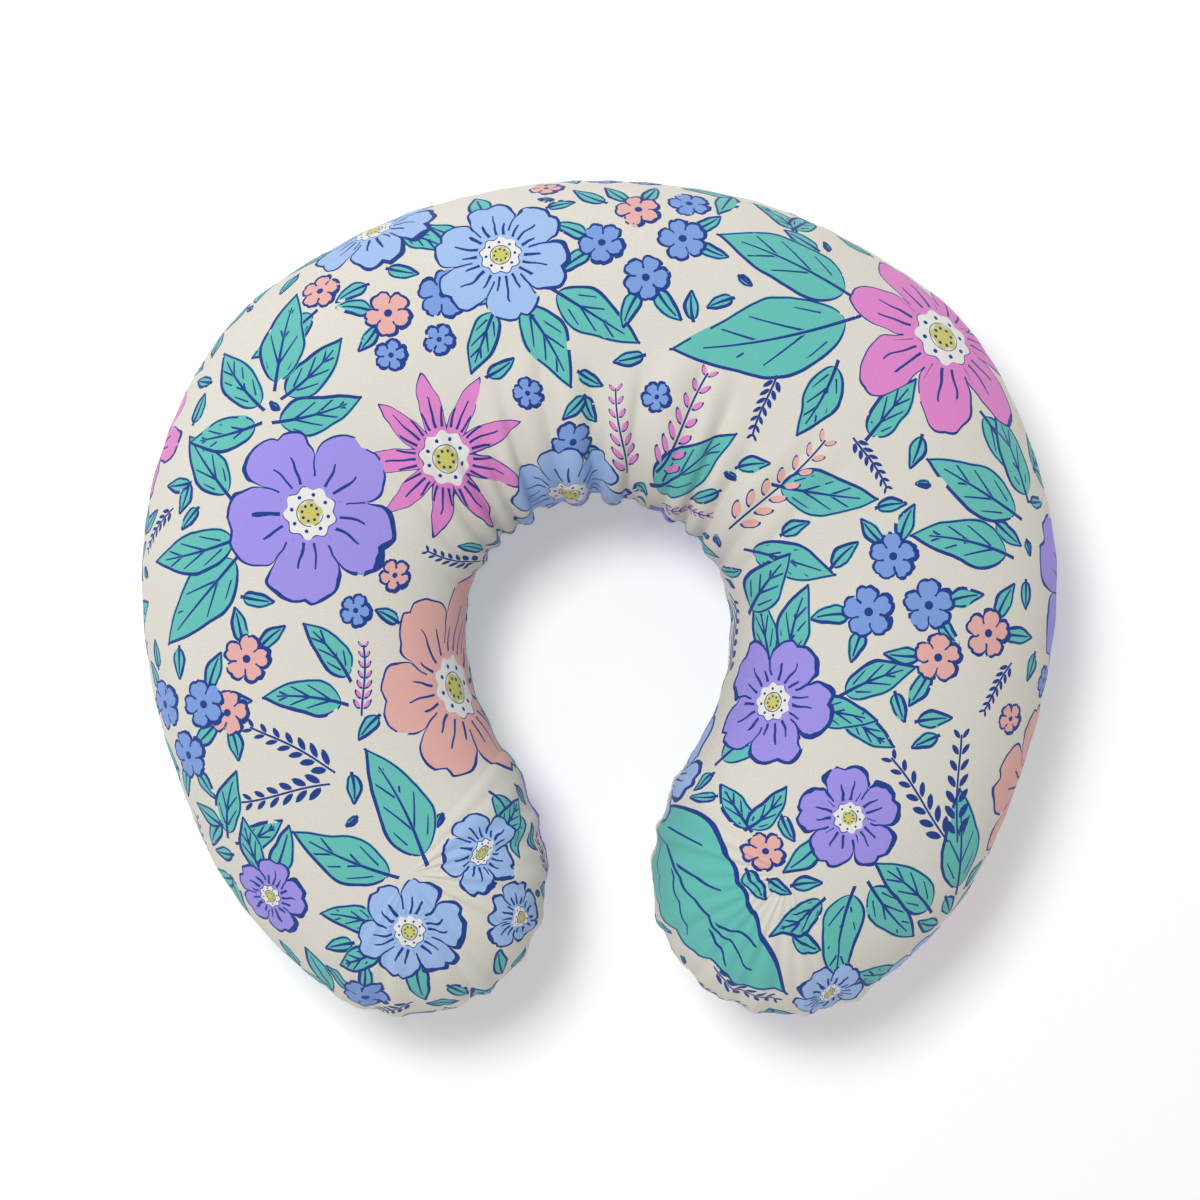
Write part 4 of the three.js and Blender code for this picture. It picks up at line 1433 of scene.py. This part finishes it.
def make_panel(name, points, top, layout, materials, is_cut=None):
    """A closed, printed cover panel from its grid of outer points."""
    whole = seam_allowance(points, top)
    number = grid_numbers(whole.shape[1])
    vertices = grid_points(whole, number)
    chart, stretch = (grid_points(values, number) for values in cloth_chart(whole))
    sides = np.where(np.abs(ring_angle(vertices)) > ARM_START, np.sign(vertices[:, 0]), 0)
    quads, triangles = (kind.tolist() for kind in grid_faces(number, top))
    if is_cut:
        cut = is_cut(vertices[np.array(quads)].mean(1))
        quads = [quad for quad, gone in zip(quads, cut) if not gone]
    motifs = layout(PanelMap(vertices, chart, stretch[:, 0]))
    closed, faces, outside = thickened(vertices, quads + triangles, CLOTH)
    piece = new_object(name, closed, faces, materials)
    mesh = piece.data
    back = np.arange(len(faces)) >= outside
    mesh.polygons.foreach_set("material_index", back.astype(np.int32))
    chart, sides = np.concatenate([chart, chart]), np.concatenate([sides, sides])
    corners = np.concatenate([np.array(face, int) for face in faces])
    is_back = np.repeat(back, [len(face) for face in faces])
    for layer, values in (("OFBake", bake_map(chart, corners, is_back)), ("Cloth", chart[corners] * MM)):
        uv = mesh.uv_layers.new(name=layer)
        uv.data.foreach_set("uv", np.ascontiguousarray(values, np.float32).reshape(-1))
    draw_print(mesh, chart, faces, motifs, sides)
    return piece


def in_zip_slot(centres):
    """Which face centres lie in the zip's opening."""
    angle, b, c = band_place(centres)
    return (np.abs(angle) < SLOT_REACH) & (np.abs(b) < SLOT_HALF) & (np.abs(c) < 10)


# -------------------------------------------------------------- liner and core

LINER_DEPTH = 3.2
LINER_CLOTH = 0.5
CORE_DEPTH = 4.6
ZIP_CLEARANCE = 3.5


def inset_grids(grids, depth):
    """The simulated surface moved inwards: more at the seam allowance and behind the zip."""
    result = []
    shares = np.arange(SIM_ROWS + 1) / SIM_ROWS
    for k, grid in enumerate(grids):
        normal = normals_of(grid, k == 0)
        normal[:, -1] = OUT_FLAT[::2]
        from_seam = (1 - shares) * crown_length
        inward = depth + 8 * np.exp(-((from_seam / 13) ** 2))
        points = grid - normal * inward[None, :, None]
        points[..., 2] = np.maximum(points[..., 2], depth)
        angle, b, c = band_place(points)
        radial = np.stack([np.sin(np.radians(angle)), np.cos(np.radians(angle))], -1)
        band_out = np.concatenate([radial * BAND_OUT[0], np.full((*angle.shape, 1), BAND_OUT[1])], -1)
        past = np.maximum(c + ZIP_CLEARANCE + depth - LINER_DEPTH, 0) * near_zip(grid)
        points = points - band_out * past[..., None]
        points[:, 0] = grid_points(points[:, 0], SPINE_OF[::2])[SPINE_OF[::2]]
        result.append(points)
    return result


def make_liner(name, grid, top, material):
    """One closed panel of the liner, a little clear of the other at the seam."""
    number = coarse_numbers()
    grid = grid.copy()
    grid[:, -1, 2] += 0.2 if top else -0.2
    vertices = grid_points(grid, number)
    closed, faces, _ = thickened(vertices, face_list(number, top), LINER_CLOTH)
    return new_object(name, closed, faces, [material])


def make_core(grids, material):
    """The stuffing: one closed body."""
    number = closed_numbers()
    faces = face_list(number[0], True) + face_list(number[1], False)
    return new_object("fiberfill", grid_points(np.stack(grids), number), faces, [material])


def surface_at(points, shares, run, ray, from_seam, top):
    """Points and normals of a grid at a ray number and a distance from the seam, both fractional."""
    normal = normals_of(points, top)
    row = np.interp(1 - np.asarray(from_seam) / run, shares, np.arange(len(shares)))
    ray, row = np.broadcast_arrays(np.asarray(ray, float), row)
    i, j = np.floor(ray).astype(int), np.minimum(row.astype(int), len(shares) - 2)
    u, v = (ray - i)[..., None], (row - j)[..., None]
    i, following = i % len(points), (i + 1) % len(points)

    def blend(grid):
        near = grid[i, j] * (1 - v) + grid[i, j + 1] * v
        far = grid[following, j] * (1 - v) + grid[following, j + 1] * v
        return near * (1 - u) + far * u

    return blend(points), blend(normal)


LABEL_CLOTH = 0.25


def make_label(name, surface_grid, rays, length, lift, material):
    """A blank satin label: sewn in at the seam, and lying down the surface in a slight wave."""
    across, down = 9, 16
    ray, from_seam = np.meshgrid(np.linspace(*rays, across), np.linspace(0.6, length, down), indexing="ij")
    points, normal = surface_at(*surface_grid, ray, from_seam, False)
    share = (from_seam - 0.6) / length
    wave = lift + 0.9 * share**2 * (1.2 + np.sin(share * 7))
    points = (points + normal * (wave + LABEL_CLOTH)[..., None]).reshape(-1, 3)
    number = np.arange(across * down).reshape(across, down)
    faces = np.stack([number[:-1, :-1], number[1:, :-1], number[1:, 1:], number[:-1, 1:]], -1).reshape(-1, 4)
    if np.dot(vertex_normals(points, faces).mean(0), normal.mean((0, 1))) < 0:
        faces = faces[:, ::-1]
    closed, faces, _ = thickened(points, faces, LABEL_CLOTH)
    return new_object(name, closed, faces, [material])


# ---------------------------------------------------------------- seam stitches


def seam_line(points, inward, lift, step=1):
    """A closed line inside the seam, and the direction that its stitches face."""
    line = points[:, -1] - OUT_FLAT[::step] * inward
    line[:, 2] = SEAM_Z + lift
    return np.concatenate([line, line[:1]]), np.tile([0.0, 0, 1], (len(line) + 1, 1))


def whip_stitches(line, out, pitch, half_height, radius):
    """Slanted stitches over an edge, as a hand makes them."""
    run = run_of(line)
    parts = []
    for start in np.arange(pitch, run[-1] - pitch, pitch):
        share = np.linspace(-1, 1, 7)
        place = start + share * pitch * 0.45
        away = read_at(place, run, out)
        arch = 0.9 - 1.6 * share**2
        path = read_at(place, run, line) + away * arch[:, None]
        path = path + np.outer(share * half_height, [0, 0, 1])
        parts.append(tube(path, radius, up=away[3]))
    return gathered(parts)


# ------------------------------------------------------------------------ zip


def band_sweep(outline, start, end, step=0.5):
    """A bar of constant section along the zip band, with closed ends."""
    angles = np.linspace(start, end, max(2, int(abs(end - start) / step)) + 1)
    outline = np.asarray(outline, float)
    rings = [on_band(angle, outline[:, 0], outline[:, 1]) for angle in angles]
    sides = len(outline)
    faces = []
    for i in range(len(rings) - 1):
        for k in range(sides):
            a, b = i * sides + k, i * sides + (k + 1) % sides
            faces.append([b, a, a + sides, b + sides])
    faces.append(list(range(sides)))
    faces.append([(len(rings) - 1) * sides + k for k in range(sides)][::-1])
    return np.concatenate(rings), faces


def signed_volume(points, faces):
    total = 0.0
    for face in faces:
        for k in range(1, len(face) - 1):
            a, b, c = points[face[0]], points[face[k]], points[face[k + 1]]
            total += np.dot(a, np.cross(b, c))
    return total


def facing_out(points, faces):
    """The faces, turned round where the solid is inside out."""
    return points, (faces if signed_volume(points, faces) > 0 else [face[::-1] for face in faces])


def rounded_strip(b0, b1, half):
    """The outline of a flat tape with round edges."""
    turn = np.radians(np.arange(-90, 91, 30))
    right = [(b1 - half + half * math.cos(t), half * math.sin(t)) for t in turn]
    left = [(b0 + half - half * math.cos(t), -half * math.sin(t)) for t in turn]
    return right + left


# Bar tacks: start and end in degrees, and half-width in mm.
TACK_START = 29.9
TACK_END = 30.25
TACK_HALF = 8.0

# Nylon coil, in mm: distance between turns, wire radius, and the turns' reach across and outwards.
COIL_PITCH = 1.35
COIL_WIRE = 0.34
COIL_HEAD = -0.30
COIL_BACK = 3.10
COIL_LOW = 0.62
COIL_HIGH = 2.36
OPEN_HEAD = 0.75
POINTS_PER_TURN = 12
BAND_RADIUS = BAND_ORIGIN[0]


def make_coil(side, material):
    """One side's coil: heads reach over the middle where the zip is closed."""
    length = math.radians(2 * COIL_REACH) * BAND_RADIUS
    turns = int(length / COIL_PITCH)
    phase = np.arange(turns * POINTS_PER_TURN + 1) / POINTS_PER_TURN
    shift = 0.5 if side > 0 else 0.0
    angle = np.minimum(-COIL_REACH + 2 * COIL_REACH * (phase + shift) / turns, COIL_REACH)
    closed = smoothstep(SLIDER_REST + 0.7, SLIDER_REST + 0.1, angle)
    head = OPEN_HEAD + (COIL_HEAD - OPEN_HEAD) * closed
    across = np.cos(2 * np.pi * phase)
    up = np.sin(2 * np.pi * phase)
    across = np.sign(across) * np.abs(across) ** 0.8
    middle, half = (COIL_BACK + head) / 2, (COIL_BACK - head) / 2 - COIL_WIRE
    b = side * (middle + half * across)
    c = (COIL_LOW + COIL_HIGH) / 2 + ((COIL_HIGH - COIL_LOW) / 2 - COIL_WIRE) * up
    path = on_band(angle, b, c)
    points, faces = tube(path, COIL_WIRE, 6)
    name = "upper" if side > 0 else "lower"
    return new_object(f"{name}_coil", *facing_out(points, faces), [material])


def make_topstitch(side):
    """The row of stitches that holds one hem to its tape."""
    angle = np.arange(-SLOT_REACH + 0.4, SLOT_REACH - 0.3, 0.25)
    line = on_band(angle, side * STITCH_B, PANEL_C + 0.12)
    out = on_band(angle, side * STITCH_B, PANEL_C + 1.12) - line
    return stitches(line, out, 3.1, 2.6, 0.27)


def make_bar_tack(side):
    """A dense zigzag of thread over the end of the opening."""
    zigzags = 26
    share = np.arange(zigzags + 1) / zigzags
    middle = (TACK_START + TACK_END) / 2
    swing = (TACK_END - TACK_START) / 2 - 0.05
    angle = side * (middle + swing * np.where(np.arange(zigzags + 1) % 2, 1, -1))
    path = on_band(angle, TACK_HALF * (2 * share - 1), 1.62 + 0 * share)
    fine = np.linspace(0, zigzags, zigzags * 4 + 1)
    path = read_at(fine, np.arange(zigzags + 1), path)
    outwards = on_band(side * middle, 0, 1.0) - on_band(side * middle, 0, 0.0)
    dip = 0.16 * (1 + np.cos(2 * np.pi * fine))
    return tube(path - outwards * dip[:, None], 0.34, 6, up=outwards)


def bevelled(node, name, width, material, body="pillow"):
    """A copy of a CAD piece with rounded edges."""
    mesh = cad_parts[node].data.copy()
    work = bmesh.new()
    work.from_mesh(mesh)
    bmesh.ops.remove_doubles(work, verts=work.verts, dist=1e-6)
    bmesh.ops.dissolve_limit(work, angle_limit=math.radians(2), verts=work.verts, edges=work.edges)
    sharp = [edge for edge in work.edges if edge.calc_face_angle(0) > math.radians(28)]
    bmesh.ops.bevel(
        work, geom=sharp, offset=width * MM, segments=3, profile=0.6, affect="EDGES", clamp_overlap=True
    )
    bmesh.ops.recalc_face_normals(work, faces=work.faces)
    work.to_mesh(mesh)
    work.free()
    mesh.materials.clear()
    mesh.materials.append(material)
    mesh.shade_smooth()
    piece = bpy.data.objects.new(name, mesh)
    bpy.context.scene.collection.objects.link(piece)
    sharpness = piece.modifiers.new("Flat faces", "WEIGHTED_NORMAL")
    sharpness.keep_sharp = True
    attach(piece, body)
    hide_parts(node)
    return piece


def finished(piece, nodes):
    """Hides the CAD nodes that a piece stands for."""
    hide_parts(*nodes)
    return piece


# ---------------------------------------------------------------------- build

printed = printed_material()
cotton_back = cloth_material("cotton_back", srgb(236, 230, 217))
liner_cotton = cloth_material("liner_cotton", srgb(243, 242, 238), pitch=0.9)
tape_weave = cloth_material("zip_tape_weave", srgb(232, 226, 212), weave=0.8, pitch=0.7)
satin = cloth_material("label_satin", srgb(244, 243, 240), weave=0.25, pitch=0.35, roughness=0.42, sheen=0.2)
thread = cloth_material("sewing_thread", THREAD, weave=0.7, pitch=0.35, roughness=0.6, sheen=0.3)
fibre = fill_material("polyester_fibre")
nylon = nylon_material("nylon_coil")
nickel = metal_material("satin_nickel")

(top_grid, bottom_grid), coarse = cover_grids()
top_cover = make_panel("top_cover", top_grid[0], True, top_layout, [printed, cotton_back])
bottom_cover = make_panel(
    "bottom_cover", bottom_grid[0], False, bottom_layout, [printed, cotton_back], in_zip_slot
)
finished(top_cover, ["cover_top_panel"])
finished(bottom_cover, ["cover_bottom_panel"])

liner_grids = inset_grids(coarse, LINER_DEPTH)
core_grids = inset_grids(coarse, CORE_DEPTH)
top_liner = make_liner("top_liner", liner_grids[0], True, liner_cotton)
bottom_liner = make_liner("bottom_liner", liner_grids[1], False, liner_cotton)
core = make_core(core_grids, fibre)
finished(top_liner, ["liner_top_panel"])
finished(bottom_liner, ["liner_bottom_panel"])
finished(core, ["fiberfill_core"])

cover_seam = stitches(*seam_line(top_grid[0], 2.2, 0.95), 2.9, 2.4, 0.24)
finished(new_object("cover_seam_stitches", *cover_seam, [thread]), ["cover_seam_thread"])
liner_seam = stitches(*seam_line(liner_grids[0], 1.4, 0.9, 2), 3.2, 2.7, 0.24)
finished(new_object("liner_seam_stitches", *liner_seam, [thread]), ["liner_seam_thread"])

closing = slice(34, 52)
closing_stitch = whip_stitches(liner_grids[0][closing, -1], OUT_FLAT[::2][closing], 3.4, 2.2, 0.26)
whip = new_object("liner_whip_stitches", *closing_stitch, [thread])
finished(whip, ["liner_closing_stitch"])

right_label = (LABEL_START / RAY_STEP, LABEL_END / RAY_STEP)
left_label = ((RAYS - LABEL_END / RAY_STEP) / 2, (RAYS - LABEL_START / RAY_STEP) / 2)
bottom_surface = (bottom_grid[0], bottom_grid[1], crown_length)
liner_surface = (liner_grids[1], np.arange(SIM_ROWS + 1) / SIM_ROWS, crown_length)
care_label = make_label("care_label_satin", bottom_surface, right_label, 41.4, 0.35, satin)
liner_label = make_label("liner_label_satin", liner_surface, left_label, 33.4, 0.25, satin)
finished(care_label, ["care_label"])
finished(liner_label, ["liner_label"])

for side, name in ((1, "upper"), (-1, "lower")):
    section_line = rounded_strip(TAPE_INNER, TAPE_OUTER, TAPE_HALF_THICKNESS)
    outline = [(side * b, c) for b, c in section_line]
    strip = facing_out(*band_sweep(outline, -TAPE_REACH, TAPE_REACH))
    tape = new_object(f"{name}_tape", *strip, [tape_weave])
    finished(tape, [f"zip_tape_{name}"])
    finished(make_coil(side, nylon), [f"zip_coil_{name}"])
    topstitch = new_object(f"{name}_topstitch", *make_topstitch(side), [thread])
    finished(topstitch, [f"zip_stitch_{name}"])
    bevelled(f"zip_top_stop_{name}", f"{name}_top_stop", 0.3, nickel)

bevelled("zip_bottom_stop", "bottom_stop", 0.3, nickel)
for side, name in ((1, "closed_end"), (-1, "open_end")):
    tack = new_object(f"bar_tack_{name}", *make_bar_tack(side), [thread])
    finished(tack, [f"zip_bar_tack_{name}"])
bevelled("zip_slider_body", "slider_body", 0.35, nickel, "slider")
bevelled("zip_pull_tab", "pull_tab", 0.3, nickel, "pull")

# ---------------------------------------------------------------------- stage

FLOOR_SIZE = 8.0
VIEW_WIDTH = 0.736
SENSOR = 36.0
LENS = 100.0
VIEW_CENTRE = (0.0009, -0.0012)


def make_floor():
    bpy.ops.mesh.primitive_plane_add(size=FLOOR_SIZE)
    floor = bpy.context.object
    floor.name = "floor"
    material, tree, shader = new_material("white_paper")
    shader.inputs["Base Color"].default_value = (0.935, 0.93, 0.918, 1)
    shader.inputs["Roughness"].default_value = 0.9
    shader.inputs["Emission Color"].default_value = (1, 1, 1, 1)
    shader.inputs["Emission Strength"].default_value = 0.21
    floor.data.materials.append(material)


def make_light(name, place, size, power, target=(0, 0, 0.05)):
    data = bpy.data.lights.new(name, "AREA")
    data.size = size
    data.energy = power
    light = bpy.data.objects.new(name, data)
    light.location = place
    light.rotation_euler = (Vector(target) - Vector(place)).to_track_quat("-Z", "Y").to_euler()
    bpy.context.scene.collection.objects.link(light)


def make_world(overhead, horizon):
    """Soft light all round, brightest at the horizon, where it is the backdrop of a side view."""
    world = bpy.data.worlds.new("studio")
    world.use_nodes = True
    tree = world.node_tree
    place = tree.nodes.new("ShaderNodeTexCoord")
    height = abs(numbers_of(tree, place.outputs["Generated"])[2])
    share = (1 - height * 2.4).most(0)
    put(tree, tree.nodes["Background"].inputs["Strength"], share * (horizon - overhead) + overhead)
    tree.nodes["Background"].inputs["Color"].default_value = (1, 1, 1, 1)
    bpy.context.scene.world = world


def make_camera():
    data = bpy.data.cameras.new("camera")
    data.lens = LENS
    data.sensor_width = SENSOR
    camera = bpy.data.objects.new("camera", data)
    camera.location = (*VIEW_CENTRE, SEAM_Z * MM + VIEW_WIDTH * LENS / SENSOR)
    bpy.context.scene.collection.objects.link(camera)
    bpy.context.scene.camera = camera


make_floor()
make_world(0.36, 1.0)
make_light("key", (-0.75, 0.85, 2.9), 0.9, 56)
make_camera()
bpy.context.scene.view_settings.view_transform = "Standard"
